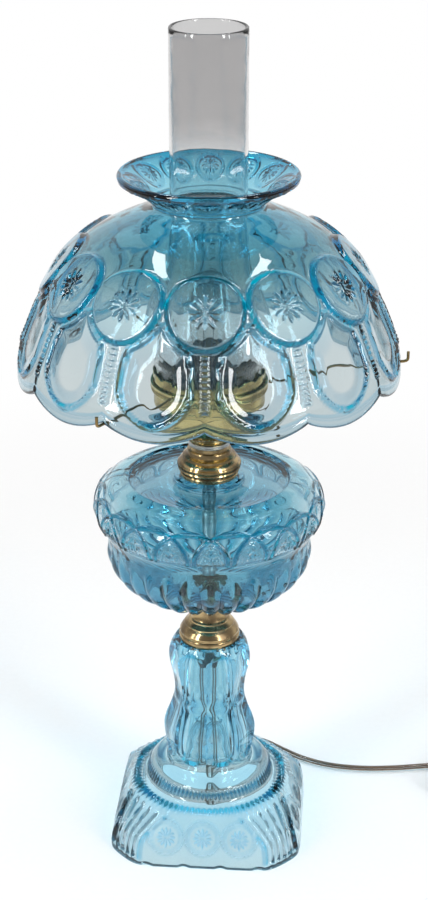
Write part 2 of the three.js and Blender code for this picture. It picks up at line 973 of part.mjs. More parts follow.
function keyWheel() {
  const bore = keyShaftRadius + seat;
  const half = keyWheelThickness / 2;
  const line = ring(bore, keyWheelRadius, -half, half);
  const geometry = turned(line, 2 * keyTeeth, ([radius, height], azimuth) => {
    const onTooth = Math.round((azimuth / Math.PI) * keyTeeth) % 2 === 0;
    return [radius === bore || onTooth ? radius : radius - keyToothDepth, height];
  });
  geometry.rotateY(Math.PI / 2);
  geometry.translate(keyWheelDistance - half - seat, 0, keyAt);
  return geometry;
}

add(upper, "key_shaft", keyShaft(), darkBrass);
add(upper, "key_wheel", keyWheel(), darkBrass);

// Bulb

const bulbCapOuter = Math.min(bulbCapRadius, screwOuter - screwShellWall - seat);
const bulbCapInner = bulbCapOuter - bulbCapWall;
const capBottom = capLow + contactThickness + seat;
const capTop = capBottom + bulbCapHeight;
const capFloor = capBottom + 2 * bulbCapWall;
const mountLow = capFloor + seat;
const glassLow = capBottom + 4 * bulbCapWall + seat;
const glassTop = glassLow + bulbGlassHeight;

function bulbCap() {
  const line = [
    [0, capBottom],
    [bulbCapOuter - 3 * bulbCapWall, capBottom],
    [bulbCapOuter, capBottom + 3 * bulbCapWall],
    [bulbCapOuter, capTop],
    [bulbCapInner, capTop],
    [bulbCapInner, capBottom + 4 * bulbCapWall],
    [bulbCapInner - 2 * bulbCapWall, capFloor],
    [0, capFloor],
  ];
  return turned(line, roundFaces);
}

// Above the neck, which stands in the cap
const bulbShares = [
  [0.88, 0.26],
  [1, 0.34],
  [1, 0.82],
  [0.92, 0.9],
  [0.71, 0.96],
  [0.38, 0.99],
];

function bulbGlass() {
  const neck = bulbCapInner - seat;
  const outside = [
    [neck, glassLow],
    [neck, capTop],
    ...shaped(bulbShares, 0, bulbGlassRadius, glassLow, glassTop),
    [0, glassTop],
  ];
  const inside = inset(outside, bulbGlassWall);
  inside[0] = [neck - bulbGlassWall, glassLow];
  inside[inside.length - 1] = [0, glassTop - bulbGlassWall];
  return turned([...outside, ...inside.reverse()], smallFaces);
}

function bulbMount() {
  const top = mountLow + bulbMountHeight;
  const line = [
    [0, mountLow],
    [bulbMountRadius, mountLow],
    [bulbMountRadius, mountLow + bulbMountHeight / 3],
    [bulbMountRadius / 3, mountLow + bulbMountHeight / 2],
    [bulbMountRadius / 3, top],
    [0, top],
  ];
  return turned(line, nutFaces);
}

// A loop up one side of the bulb and down the other: across as a share of the spread, and up as a share.
const filamentShares = [
  [-0.22, 0],
  [-0.5, 0.08],
  [-1, 0.5],
  [-0.5, 0.96],
  [0, 1],
  [0.5, 0.96],
  [1, 0.5],
  [0.5, 0.08],
  [0.22, 0],
];

function filament() {
  const low = mountLow + bulbMountHeight + seat + filamentRadius;
  const points = shaped(filamentShares, 0, filamentSpread, low, low + filamentHeight);
  const curve = new THREE.CatmullRomCurve3(points.map(([x, z]) => new THREE.Vector3(x, 0, z)));
  return tube(curve, filamentRadius, wireFaces, filamentSteps);
}

add(upper, "bulb_contact", contact(capLow), steel);
add(upper, "bulb_cap", bulbCap(), brass);
add(upper, "bulb_glass", bulbGlass(), clearGlass);
add(upper, "bulb_mount", bulbMount(), clearGlass);
add(upper, "bulb_filament", filament(), darkBrass);

// Cord inside the lamp: from the switch down the rod and the stem, and out through the notch at the back

function innerRoute() {
  const top = blockLow - seat;
  const bend = cordRestHeight + cordInnerDrop;
  const end = footHalfWidth + seat;
  const corner = new THREE.Vector3(0, 0, cordRestHeight);
  const bendStart = new THREE.Vector3(0, 0, bend);
  const bendEnd = new THREE.Vector3(0, cordInnerDrop, cordRestHeight);
  const path = new THREE.CurvePath();
  path.add(new THREE.LineCurve3(new THREE.Vector3(0, 0, top), bendStart));
  path.add(new THREE.QuadraticBezierCurve3(bendStart, corner, bendEnd));
  path.add(new THREE.LineCurve3(bendEnd, new THREE.Vector3(0, end, cordRestHeight)));
  return path;
}

add(lamp, "cord_inner", tube(innerRoute(), cordRadius, cordFaces, innerCordSteps), clearPlastic);

// Free cord: from the notch round the back corner and away to the right, as chosen points

const exitY = footHalfWidth + 2 * seat;
const runPoints = [
  [0, exitY, cordRestHeight],
  [0, 80, cordRestHeight],
  [5.5, 93.5, cordRestHeight],
  [19, 100, cordRestHeight],
  [35, 96.5, cordRestHeight],
  [50, 86, cordRestHeight],
  [66, 75, cordRestHeight],
  [86, 67, cordRestHeight],
  [110, 64, cordRestHeight],
  [136, 66, cordRestHeight],
  [162, 71, cordRestHeight],
  [184, 74.6, 3],
  [198, 76, coilRestHeight],
  [coilX - 2 * cordRadius - seat, coilY + coilOuterRadius, coilRestHeight],
];
const runRoute = new THREE.CatmullRomCurve3(runPoints.map((p) => new THREE.Vector3(...p)));
add(lamp, "cord_run", tube(runRoute, cordRadius, cordFaces, runSteps), clearPlastic);

// Coil: the cord spirals in and out again over its layers, and climbs where the spiral turns back.
class CoilCurve extends THREE.Curve {
  getPoint(share, target = new THREE.Vector3()) {
    const turns = share * coilTurns;
    const perLayer = coilTurns / coilLayers;
    const layer = Math.min(Math.floor(turns / perLayer), coilLayers - 1);
    const along = turns / perLayer - layer;
    const inwards = layer % 2 === 0 ? along : 1 - along;
    const radius = coilOuterRadius + inwards * (coilInnerRadius - coilOuterRadius);
    const nearest = Math.min(Math.max(Math.round(turns / perLayer), 1), coilLayers - 1);
    const climb = THREE.MathUtils.clamp(2 * (turns - nearest * perLayer) + 0.5, 0, 1);
    const height = coilRestHeight + coilLayerRise * (nearest - 1 + THREE.MathUtils.smoothstep(climb, 0, 1));
    const azimuth = Math.PI - turns * 2 * Math.PI;
    return target.set(coilX + radius * Math.sin(azimuth), coilY - radius * Math.cos(azimuth), height);
  }
}

const coilCurve = new CoilCurve();
const coilSteps = Math.round(coilTurns * coilStepsPerTurn);

// The least gap of the coil to itself, measured between points of its middle line half a turn or more apart.
function leastCoilGap() {
  const points = coilCurve.getPoints(4 * coilSteps);
  const apart = 2 * coilStepsPerTurn;
  let least = Infinity;
  points.forEach((a, i) => {
    for (const b of points.slice(i + apart)) {
      least = Math.min(least, a.distanceTo(b));
    }
  });
  return least - 2 * cordRadius;
}

function flatSide(along) {
  return new THREE.Vector3().crossVectors(along, new THREE.Vector3(0, 0, 1)).normalize();
}

// The coil's ends run straight for one diameter of the cord.
const straightEnd = 2 * cordRadius;
const coilIn = coilCurve.getPoint(0).sub(new THREE.Vector3(straightEnd, 0, 0));
const coilOut = coilCurve.getPoint(1).sub(new THREE.Vector3(0, straightEnd, 0));
const coilPoints = [coilIn, ...coilCurve.getPoints(coilSteps), coilOut];

console.log(`least gap between turns of the coil: ${leastCoilGap().toFixed(2)} mm`);
add(lamp, "cord_coil", ringTube(coilPoints, cordRadius, coilFaces, flatSide), clearPlastic);

// Tie round the bundle of turns

function tie() {
  const reach = cordRadius + seat;
  const low = coilRestHeight - reach;
  const high = coilRestHeight + (coilLayers - 1) * coilLayerRise + reach;
  const box = (grow) => {
    const left = coilInnerRadius - reach - grow;
    const right = coilOuterRadius + reach + grow;
    const corners = [
      [left, low - grow],
      [right, low - grow],
      [right, high + grow],
      [left, high + grow],
    ];
    return corners.map(([x, y]) => new THREE.Vector2(x, y));
  };
  const shape = new THREE.Shape(box(tieThickness));
  shape.holes.push(new THREE.Path(box(0).reverse()));
  const geometry = new THREE.ExtrudeGeometry(shape, { depth: tieWidth, bevelEnabled: false });
  geometry.translate(0, 0, -tieWidth / 2);
  geometry.rotateX(Math.PI / 2);
  geometry.rotateZ(radians(tieAzimuthDegrees));
  geometry.translate(coilX, coilY, 0);
  return closed(geometry);
}

add(lamp, "cord_tie", tie(), phenolic);

// Tail from the top layer down to the plug

const tailTop = coilRestHeight + (coilLayers - 1) * coilLayerRise;
const plugAxisHeight = plugHeight / 2 + plugRestGap;
const tailPoints = [
  [coilOut.x, coilOut.y - seat, tailTop],
  [coilOut.x, coilOut.y - 2 * straightEnd, 19.4],
  [246.4, 10, 13.4],
  [244.5, -8, 8.4],
  [242.4, -24, plugAxisHeight],
  [240.9, -38, plugAxisHeight],
];
const tailRoute = new THREE.CatmullRomCurve3(tailPoints.map((p) => new THREE.Vector3(...p)));
add(lamp, "cord_tail", tube(tailRoute, cordRadius, cordFaces, tailSteps), clearPlastic);

// Plug

const plug = new THREE.Group();
const [plugX, plugY] = tailPoints.at(-1);
plug.position.set(plugX, plugY - seat, plugAxisHeight);
plug.rotation.z = radians(plugTurnDegrees);
lamp.add(plug);

// The body widens from the cord's end to the face with the blades.
function plugBody() {
  const halfWidth = plugWidth / 2;
  const rearHalf = halfWidth * plugRearShare;
  const corner = plugHeight / 4;
  const shape = new THREE.Shape([
    new THREE.Vector2(-rearHalf, 0),
    new THREE.Vector2(rearHalf, 0),
    new THREE.Vector2(halfWidth, -plugLength / 2),
    new THREE.Vector2(halfWidth, -plugLength + corner),
    new THREE.Vector2(halfWidth - corner, -plugLength),
    new THREE.Vector2(corner - halfWidth, -plugLength),
    new THREE.Vector2(-halfWidth, corner - plugLength),
    new THREE.Vector2(-halfWidth, -plugLength / 2),
  ]);
  const geometry = new THREE.ExtrudeGeometry(shape, { depth: plugHeight, bevelEnabled: false });
  geometry.translate(0, 0, -plugHeight / 2);
  return closed(geometry);
}

add(plug, "plug_body", plugBody(), phenolic);
["left", "right"].forEach((side, i) => {
  const blade = new THREE.BoxGeometry(bladeThickness, bladeLength, bladeWidth);
  const mesh = add(plug, `plug_blade_${side}`, closed(blade), brass);
  mesh.position.set((i - 1 / 2) * bladeSpacing, -plugLength - seat - bladeLength / 2, 0);
});

const freeLength = runRoute.getLength() + coilCurve.getLength() + tailRoute.getLength();
console.log(`free cord: ${(freeLength / 1000).toFixed(3)} m`);

export default lamp;
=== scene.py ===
# %% [markdown]
# # A table lamp of pressed blue glass
#
# The lamp has the form of an oil lamp and is an electric one. A square glass foot and stem carry a glass
# font. A brass burner on the font holds the socket, the chimney and three wire arms, and the scalloped shade
# hangs on those arms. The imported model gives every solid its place. This file dresses it: it gives the glass
# its pressed pattern and every piece its finish.

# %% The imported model
import bisect
from itertools import accumulate
from math import atan, atan2, cos, hypot, pi, radians, sin, sqrt, tan, tau

import bmesh
import bpy
from mathutils import Matrix, Vector


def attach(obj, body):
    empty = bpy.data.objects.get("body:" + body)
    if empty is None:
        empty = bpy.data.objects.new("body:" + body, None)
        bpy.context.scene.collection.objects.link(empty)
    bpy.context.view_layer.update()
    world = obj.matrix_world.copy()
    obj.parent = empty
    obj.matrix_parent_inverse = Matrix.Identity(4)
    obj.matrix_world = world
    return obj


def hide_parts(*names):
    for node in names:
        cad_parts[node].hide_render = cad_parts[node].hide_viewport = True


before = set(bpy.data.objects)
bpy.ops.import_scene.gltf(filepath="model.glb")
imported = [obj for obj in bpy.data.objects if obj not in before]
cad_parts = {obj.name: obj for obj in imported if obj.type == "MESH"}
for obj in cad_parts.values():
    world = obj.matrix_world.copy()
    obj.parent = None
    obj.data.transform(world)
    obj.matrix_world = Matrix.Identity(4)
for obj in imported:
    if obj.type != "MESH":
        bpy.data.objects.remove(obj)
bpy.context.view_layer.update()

MM = 0.001


def placed(name, data):
    """A new object in the scene."""
    thing = bpy.data.objects.new(name, data)
    bpy.context.scene.collection.objects.link(thing)
    return thing


# %% [markdown]
# ## The camera
#
# The photo was taken from a little above and a little to the right of the foot's front face. The circles of
# the lamp look like ellipses there, and their widths and heights give the camera's distance and height. The
# sensor's width lies along the picture's long side, which is upright here.

# %% Camera
CAMERA_TURN = radians(4.6)
CAMERA_TILT = 0.4217
CAMERA_SIDE = 0.0028

camera_data = bpy.data.cameras.new("camera")
camera_data.sensor_width = 36
camera_data.lens = 75.73
camera = placed("camera", camera_data)
level = cos(CAMERA_TILT)
sight = Vector((sin(CAMERA_SIDE) * level, cos(CAMERA_SIDE) * level, -sin(CAMERA_TILT)))
sight.rotate(Matrix.Rotation(CAMERA_TURN, 3, "Z"))
camera.location = (0.0948, -1.1782, 0.8281)
camera.rotation_euler = sight.to_track_quat("-Z", "Y").to_euler()
bpy.context.scene.camera = camera
bpy.context.scene.view_settings.view_transform = "Standard"
print("camera at", tuple(camera.location))

# %% [markdown]
# ## Writing materials as sums
#
# A material is a tree of nodes, and most of its nodes are plain arithmetic. The class below wraps one socket
# of the tree, so that Python's own signs add the Math nodes: `1 - mask * 0.3` reads better than three nodes
# and their links. The other nodes come from one method, which takes a node's type, its settings and what
# goes into its sockets, and the ones that return often have a short method of their own.


# %% Signals and finishes
class Signal:
    """One output socket of a finish."""

    def __init__(self, finish, socket):
        self.finish = finish
        self.socket = socket

    def math(self, operation, *others, clamp=False):
        settings = {"operation": operation, "use_clamp": clamp}
        return self.finish.node("ShaderNodeMath", settings, dict(enumerate((self, *others))))

    def __add__(self, other):
        return self.math("ADD", other)

    def __sub__(self, other):
        return self.math("SUBTRACT", other)

    def __rsub__(self, other):
        return self.finish.node("ShaderNodeMath", {"operation": "SUBTRACT"}, {0: other, 1: self})

    def __mul__(self, other):
        return self.math("MULTIPLY", other)

    __radd__ = __add__
    __rmul__ = __mul__

    def part(self, axis):
        return self.finish.node("ShaderNodeSeparateXYZ", None, {0: self}, out=axis)

    def between(self, low, high, way="SMOOTHSTEP"):
        """0 up to low, 1 from high on, and a slope from one to the other."""
        ends = {"Value": self, "From Min": low, "From Max": high}
        return self.finish.node("ShaderNodeMapRange", {"interpolation_type": way}, ends)

    def ramp(self, stops):
        """A colour read from stops, which are pairs of a place and a colour."""
        colour = self.finish.node("ShaderNodeValToRGB", None, {0: self})
        elements = colour.socket.node.color_ramp.elements
        while len(elements) < len(stops):
            elements.new(1)
        for element, (at, tint) in zip(elements, stops):
            element.position = at
            element.color = (*tint, 1)
        return colour


class Finish:
    """The node tree of a material or of the world."""

    def __init__(self, owner):
        owner.use_nodes = True
        self.owner = owner
        self.tree = owner.node_tree
        self.tree.nodes.clear()

    def node(self, kind, settings=None, sockets=None, out=0):
        node = self.tree.nodes.new(kind)
        for key, value in (settings or {}).items():
            setattr(node, key, value)
        for key, value in (sockets or {}).items():
            self.feed(node.inputs[key], value)
        return Signal(self, node.outputs[out]) if node.outputs else node

    def feed(self, socket, value):
        if isinstance(value, Signal):
            self.tree.links.new(value.socket, socket)
        elif socket.type == "RGBA" and len(value) == 3:
            socket.default_value = (*value, 1)
        else:
            socket.default_value = value

    def place(self, space="Object"):
        return self.node("ShaderNodeTexCoord", out=space)

    def ray(self, kind):
        return self.node("ShaderNodeLightPath", out=f"Is {kind} Ray")

    def blend(self, factor, low, high):
        return self.node("ShaderNodeMix", {"data_type": "RGBA"}, {0: factor, 6: low, 7: high}, out=2)

    def choose(self, factor, low, high):
        """The same as blend, for shaders."""
        return self.node("ShaderNodeMixShader", None, {0: factor, 1: low, 2: high})

    def noise(self, size, stretch=(1, 1, 1), detail=2):
        """Cloudy values from 0 to 1, with clouds of about the given size in metres."""
        scale = [1 / (size * s) for s in stretch]
        vector = self.node("ShaderNodeMapping", None, {"Vector": self.place(), "Scale": scale})
        return self.node("ShaderNodeTexNoise", None, {"Vector": vector, "Scale": 1.0, "Detail": detail})

    def relief(self, height, distance):
        return self.node("ShaderNodeBump", None, {"Strength": 1.0, "Distance": distance, "Height": height})

    def surface(self, **sockets):
        named = {key.replace("_", " "): value for key, value in sockets.items()}
        return self.node("ShaderNodeBsdfPrincipled", None, named, out="BSDF")

    def done(self, surface, **others):
        """Ends the tree of a material and gives the material."""
        self.node("ShaderNodeOutputMaterial", None, {"Surface": surface, **others})
        return self.owner


def new_finish(name):
    return Finish(bpy.data.materials.new(name))


# %% [markdown]
# ## Light and floor
#
# The lamp stands on a plain white floor. Two tall soft boxes and two narrow cards stand at the sides and give
# glass and brass their upright highlights, and two strips overhead light the top of the dome. The camera
# sees white all round. Clear glass only shows because something dark is bent into its edges, so rays that
# glass and brass have reflected or bent find a room that is darker overhead and behind the camera, and a floor
# with dark sides. Rays that come through the glass find those parts blue: thick pressed edges carry light a
# long way inside the glass, and this gives them the colour that such a path has. For these rays the dark sides
# end after two metres, so that the clear chimney looks clear from the sides too. The floor far from the lamp
# is as bright as the background, and near the lamp it keeps the shadow.


# %% World
def grey(value):
    return (value, value, value)


WHITE = grey(1)
EDGE_BLUE = (0.06, 0.36, 0.54)
ROOM_LIGHT = (0.56, 0.555, 0.55)
GREY_ROOM = [(0.0, grey(0.95)), (0.2, (0.7, 0.71, 0.72)), (0.5, (0.3, 0.3, 0.31)), (1, grey(0.14))]
BLUE_ROOM = [(0.0, (0.9, 0.95, 0.97)), (0.2, (0.45, 0.7, 0.8)), (0.5, EDGE_BLUE), (1, (0.02, 0.22, 0.36))]


def seen_directly(finish):
    """1 for rays that look at, reflect or look through to the background, and 0 for rays that light."""
    return (finish.ray("Camera") + finish.ray("Glossy")).math("ADD", finish.ray("Transmission"), clamp=True)


world = bpy.data.worlds.new("studio")
bpy.context.scene.world = world
room = Finish(world)
direction = room.place("Generated")
upright = direction.part("Z")
walls = (upright * 0.75 - direction.part("Y") * 0.45).ramp(GREY_ROOM)
walls = room.blend(room.ray("Transmission"), walls, (upright * 0.85).ramp(BLUE_ROOM))
walls = room.blend(room.ray("Camera"), walls, WHITE)
plain = room.node("ShaderNodeBackground", None, {"Color": ROOM_LIGHT, "Strength": 1.0})
shown = room.node("ShaderNodeBackground", None, {"Color": walls, "Strength": 1.0})
room.node("ShaderNodeOutputWorld", None, {"Surface": room.choose(seen_directly(room), plain, shown)})
print("world:", len(room.tree.nodes), "nodes")


# %% Floor
SHADOW_ENDS = (0.3, 0.9)
SIDES_START = (0.5, 1.3)
SIDES_END = (1.5, 2.1)


def floor_finish():
    """Each pair of distances in metres above is where a change begins and where it is complete."""
    finish = new_finish("white_floor")
    place = finish.place()
    far = finish.node("ShaderNodeVectorMath", {"operation": "LENGTH"}, {0: place}, out="Value")
    colour = finish.blend(finish.noise(0.004, detail=3), grey(0.86), grey(0.9))
    near = finish.surface(Base_Color=colour, Roughness=0.9, Specular_IOR_Level=0.1)
    turn = {"Vector": place, "Rotation": (0, 0, -CAMERA_TURN)}
    facing = finish.node("ShaderNodeMapping", {"vector_type": "POINT"}, turn)
    sideways, behind = facing.part("X").math("ABSOLUTE"), facing.part("Y")
    through = finish.ray("Transmission")
    beyond = sideways - behind.math("MAXIMUM", 0.0) * 0.32 - behind.math("MINIMUM", 0.0) * (0.5 - through * 0.9)
    cut_off = 1 - sideways.between(*SIDES_END) * through
    dark = beyond.between(*SIDES_START) * cut_off * (1 - finish.ray("Camera"))
    sweep = finish.blend(dark, WHITE, finish.blend(through, grey(0.3), EDGE_BLUE))
    bright = finish.node("ShaderNodeEmission", None, {"Color": sweep, "Strength": 1.0})
    return finish.done(finish.choose(far.between(*SHADOW_ENDS) * seen_directly(finish), near, bright))


floor_bm = bmesh.new()
bmesh.ops.create_grid(floor_bm, x_segments=4, y_segments=4, size=12)
floor_mesh = bpy.data.meshes.new("floor")
floor_bm.to_mesh(floor_mesh)
floor_mesh.materials.append(floor_finish())
floor = placed("floor", floor_mesh)
print("floor:", floor.dimensions[0], "m wide")


# %% Soft boxes
def soft_box(name, place, target, size, watts):
    data = bpy.data.lights.new(name, "AREA")
    data.shape = "RECTANGLE"
    data.size, data.size_y = size
    data.energy = watts
    lamp = placed(name, data)
    lamp.location = place
    lamp.rotation_euler = (Vector(target) - Vector(place)).to_track_quat("-Z", "Y").to_euler()


soft_box("left_box", (-1.25, -1.35, 1.15), (0, 0, 0.32), (0.24, 1.5), 20)
soft_box("right_box", (1.3, -1.2, 1.15), (0, 0, 0.32), (0.24, 1.5), 20)
for side, x in (("left", -1.5), ("right", 1.5)):
    soft_box(f"{side}_card", (x, -0.75, 0.8), (0, 0, 0.42), (0.12, 0.7), 3)
for side, x in (("left", -0.62), ("right", 0.62)):
    soft_box(f"{side}_strip", (x, 0.35, 2.0), (x, 0.35, 0), (0.16, 0.8), 5)
print("lamps:", len(bpy.data.lights))

# %% [markdown]
# ## Finishes
#
# Glass is a Principled surface with full transmission. Pressed glass also takes colour from its depth, so a
# Volume Absorption with a constant density makes thick edges blue and leaves thin walls pale. For shadow
# rays the surface turns into tinted transparency, so that lamps reach what stands behind it. The tint also
# changes with height, where it paints light and shade besides the glass's colour, and it turns to a deeper
# one where the relief is steep, which is painted shade.


# %% Glass
BLUE_ABSORBS = (0.03, 0.66, 0.83)


def glass(name, levels, deep, shadow, gloss=(0.0, 0.03), density=0.0):
    """levels holds pairs of a height in metres and the tint there, which paints light and shade besides the
    glass's colour; deep is the tint of the deep attribute: painted shade on steep relief and on the other
    tinted places.
    """
    finish = new_finish(name)
    low, high = levels[0][0], levels[-1][0]
    share = finish.place().part("Z").between(low, high, "LINEAR")
    tint = share.ramp([((at - low) / (high - low), colour) for at, colour in levels])
    steep = finish.node("ShaderNodeAttribute", {"attribute_name": "deep"}, out="Fac")
    frost = finish.node("ShaderNodeAttribute", {"attribute_name": "frost"}, out="Fac")
    colour = finish.blend(steep.math("ADD", finish.noise(0.03) * 0.06, clamp=True), tint, deep)
    rough = finish.noise(0.012, detail=4) * (gloss[1] - gloss[0]) + gloss[0] + frost * 0.3
    ripple = finish.relief(finish.noise(0.018, detail=1), 0.0003)
    shine = finish.surface(Base_Color=colour, Roughness=rough, IOR=1.5, Transmission_Weight=1.0, Normal=ripple)
    clear = finish.node("ShaderNodeBsdfTransparent", None, {"Color": shadow})
    depth = {}
    if density:
        absorbs = {"Color": BLUE_ABSORBS, "Density": density}
        depth["Volume"] = finish.node("ShaderNodeVolumeAbsorption", None, absorbs)
    return finish.done(finish.choose(finish.ray("Shadow"), shine, clear), **depth)


# Painted light and shade by height, with the glass's own colour: the shade is greyer low down, darker in the
# dome and paler at the neck, the font is darker on its belly and top and paler at its shoulder, and the foot is
# greyer than the stem.
SHADE_LEVELS = [
    (0.35, (0.66, 0.68, 0.67)), (0.405, (0.64, 0.68, 0.68)), (0.432, (0.64, 0.76, 0.77)),
    (0.452, (0.22, 0.46, 0.5)), (0.464, (0.26, 0.58, 0.68)), (0.476, (0.36, 0.7, 0.82)),
    (0.486, (0.3, 0.62, 0.72)), (0.492, (0.12, 0.52, 0.66)),
]
FONT_LEVELS = [
    (0.188, (0.38, 0.65, 0.73)), (0.236, (0.38, 0.65, 0.73)), (0.25, (0.9, 0.94, 0.95)),
    (0.268, (0.96, 0.97, 0.97)), (0.277, (0.48, 0.72, 0.77)),
]
FOOT_LEVELS = [
    (0.0, (0.72, 0.67, 0.63)), (0.045, (0.76, 0.78, 0.77)),
    (0.07, (0.64, 0.83, 0.87)), (0.153, (0.64, 0.83, 0.87)),
]
# painted shade: the chimney's glass is tinted greyer above the shade's crown than below it
CHIMNEY_SHADE_LEVELS = [
    (0.335, grey(0.9)), (0.5, grey(0.88)), (0.524, (0.65, 0.645, 0.645)), (0.59, (0.63, 0.625, 0.625)),
]
BULB_LEVELS = [(0.3, (0.9, 0.9, 0.89)), (0.45, (0.86, 0.86, 0.85))]
JACKET_LEVELS = [(0.0, (0.84, 0.84, 0.82)), (0.3, (0.88, 0.88, 0.86))]
shade_glass = glass("blue_shade_glass", SHADE_LEVELS, (0.0, 0.3, 0.52), (0.7, 0.86, 0.92), density=30.0)
font_glass = glass("blue_font_glass", FONT_LEVELS, (0.0, 0.19, 0.34), (0.7, 0.86, 0.92), density=18.0)
foot_glass = glass("blue_foot_glass", FOOT_LEVELS, (0.01, 0.36, 0.58), (0.76, 0.89, 0.94), density=14.0)
chimney_glass = glass("clear_chimney_glass", CHIMNEY_SHADE_LEVELS, grey(0.4), grey(0.86), (0.0, 0.02))
bulb_glass = glass("clear_bulb_glass", BULB_LEVELS, grey(0.7), grey(0.93))
jacket_plastic = glass("clear_cord_jacket", JACKET_LEVELS, (0.7, 0.7, 0.68), grey(0.8), (0.08, 0.2))
print("glass finishes:", shade_glass.name, font_glass.name, foot_glass.name, chimney_glass.name)


# %% [markdown]
# Spun brass shows fine rings left by the lathe, and old lacquer darkens in clouds. Both are noise: one
# squeezed flat along the axis, and one left round. Each metal below is a set of two colours and a range of
# roughness.


# %% Metals
RING_STRETCH = (30, 30, 0.35)
RING_DEPTH = 0.00002


def metal(name, bright, aged, smooth, dull):
    finish = new_finish(name)
    cloud = finish.noise(0.014, detail=5)
    aging = cloud.between(0.38, 0.66)
    rings = finish.noise(0.001, RING_STRETCH)
    colour = finish.blend(aging, bright, aged)
    rough = aging * (dull - smooth) + smooth + rings * 0.08
    normal = finish.relief(rings + cloud * 0.5, RING_DEPTH)
    return finish.done(finish.surface(Base_Color=colour, Metallic=1.0, Roughness=rough, Normal=normal))


brass = metal("aged_brass", (0.47, 0.35, 0.18), (0.17, 0.12, 0.065), 0.1, 0.28)
bright_brass = metal("yellow_brass", (0.7, 0.55, 0.24), (0.36, 0.27, 0.12), 0.12, 0.26)
dark_brass = metal("dark_brass", (0.3, 0.2, 0.08), (0.17, 0.11, 0.05), 0.25, 0.42)
zinc = metal("zinc_plate", (0.5, 0.51, 0.5), (0.33, 0.34, 0.33), 0.25, 0.4)
wolfram = metal("tungsten_wire", (0.3, 0.29, 0.28), (0.18, 0.17, 0.17), 0.3, 0.5)


# %% Moulded, woven and drawn things
def dull_finish(name, light, dark, gloss, size, depth, stretch=(1, 1, 1)):
    finish = new_finish(name)
    mottle = finish.noise(size, stretch, detail=6)
    colour = finish.blend(mottle, light, dark)
    rough = mottle * (gloss[1] - gloss[0]) + gloss[0]
    return finish.done(finish.surface(Base_Color=colour, Roughness=rough, Normal=finish.relief(mottle, depth)))


BLACKS, BROWNS = ((0.035, 0.03, 0.027), (0.016, 0.013, 0.012)), ((0.06, 0.04, 0.03), (0.03, 0.02, 0.015))
BOARDS, COPPERS = ((0.32, 0.24, 0.15), (0.2, 0.14, 0.085)), ((0.2, 0.12, 0.07), (0.06, 0.035, 0.02))
phenolic = dull_finish("black_phenolic", *BLACKS, (0.3, 0.45), 0.003, 0.00005)
paperboard = dull_finish("insulating_board", *BOARDS, (0.6, 0.8), 0.002, 0.0001, (1, 1, 4))
plug_plastic = dull_finish("brown_plug", *BROWNS, (0.35, 0.5), 0.004, 0.00005)
copper = dull_finish("copper_strands", *COPPERS, (0.35, 0.6), 0.001, 0.0001, (1, 1, 0.4))
print("finishes:", len(bpy.data.materials))

# %% [markdown]
# ## Smooth lines
#
# Routes of cords and outlines of turned pieces are a few chosen points with a smooth curve through them. The
# centripetal Catmull-Rom curve is the one that the solids were made with, so it is used here as well, and
# the cords then lie where their solids lie.


# %% Curves through points
def flowing(points, steps=12):
    """Points of a smooth curve that goes through the given ones."""
    points = [Vector(p) for p in points]
    full = [2 * points[0] - points[1], *points, 2 * points[-1] - points[-2]]
    out = [points[0]]
    for a, b, c, d in zip(full, full[1:], full[2:], full[3:]):
        k0, k1, k2 = (max((q - p).length, 1e-6) ** 0.5 for p, q in ((a, b), (b, c), (c, d)))
        start = ((b - a) / k0 - (c - a) / (k0 + k1) + (c - b) / k1) * k1
        end = ((c - b) / k1 - (d - b) / (k1 + k2) + (d - c) / k2) * k1
        for i in range(1, steps + 1):
            t = i / steps
            curve = b + start * t + (3 * (c - b) - 2 * start - end) * t**2 + (2 * (b - c) + start + end) * t**3
            out.append(curve)
    return out


class Line:
    """A drawn line, read by the distance along it. Only its first two numbers count as distance."""

    def __init__(self, points):
        self.points = [Vector(p) for p in points]
        pairs = zip(self.points, self.points[1:])
        self.marks = [0, *accumulate((Vector(b[:2]) - Vector(a[:2])).length for a, b in pairs)]
        self.length = self.marks[-1]

    def at(self, distance):
        i = min(max(bisect.bisect_right(self.marks, distance) - 1, 0), len(self.points) - 2)
        a, b = self.points[i], self.points[i + 1]
        return a + (b - a) * ((distance - self.marks[i]) / max(self.marks[i + 1] - self.marks[i], 1e-9))

    def outwards(self, distance):
        """The direction square to the line, on its right hand."""
        ahead = self.at(min(distance + 0.3, self.length)) - self.at(max(distance - 0.3, 0))
        return Vector((ahead[1], -ahead[0])).normalized()

    def where(self, height):
        return next(mark for mark, point in zip(self.marks, self.points) if point[1] >= height)

    def inset(self, depth):
        """The line of a wall's other side, drawn the other way."""
        moved = []
        for mark, point in zip(self.marks, self.points):
            side = self.outwards(mark) * depth
            moved.append(Vector((point[0] - side[0], point[1] - side[1], *point[2:])))
        return Line(moved[::-1])


def rim(a, b, reach, steps=6):
    """A half round edge from a to b."""
    a, b = Vector(a), Vector(b)
    middle = (a + b) / 2
    out = Vector((b[1] - a[1], a[0] - b[0])).normalized() * reach
    out.resize(len(a))
    turns = [pi * i / steps for i in range(1, steps)]
    return [middle + (a - middle) * cos(t) + out * sin(t) for t in turns]


def bent(start, middle, end, t):
    """A place on the bow from start to end that leans to the middle point."""
    return start * (1 - t) ** 2 + middle * 2 * t * (1 - t) + end * t**2


def ease(value, low, high):
    """0 up to low, 1 from high on, and a soft slope from one to the other."""
    share = min(max((value - low) / (high - low), 0), 1)
    return share * share * (3 - 2 * share)


# %% [markdown]
# ## The cord
#
# The cord is clear plastic over two strands, as it shows in the stem. It leaves the switch, goes down
# inside the rod and out through a notch at the back of the foot. About 1.8 m is free, as is usual for a
# table lamp, and what the photo does not show is wound up just outside the view, behind a tie. A curve with a
# round bevel is the right tool: its line is the cord's middle line, so its length can be measured.


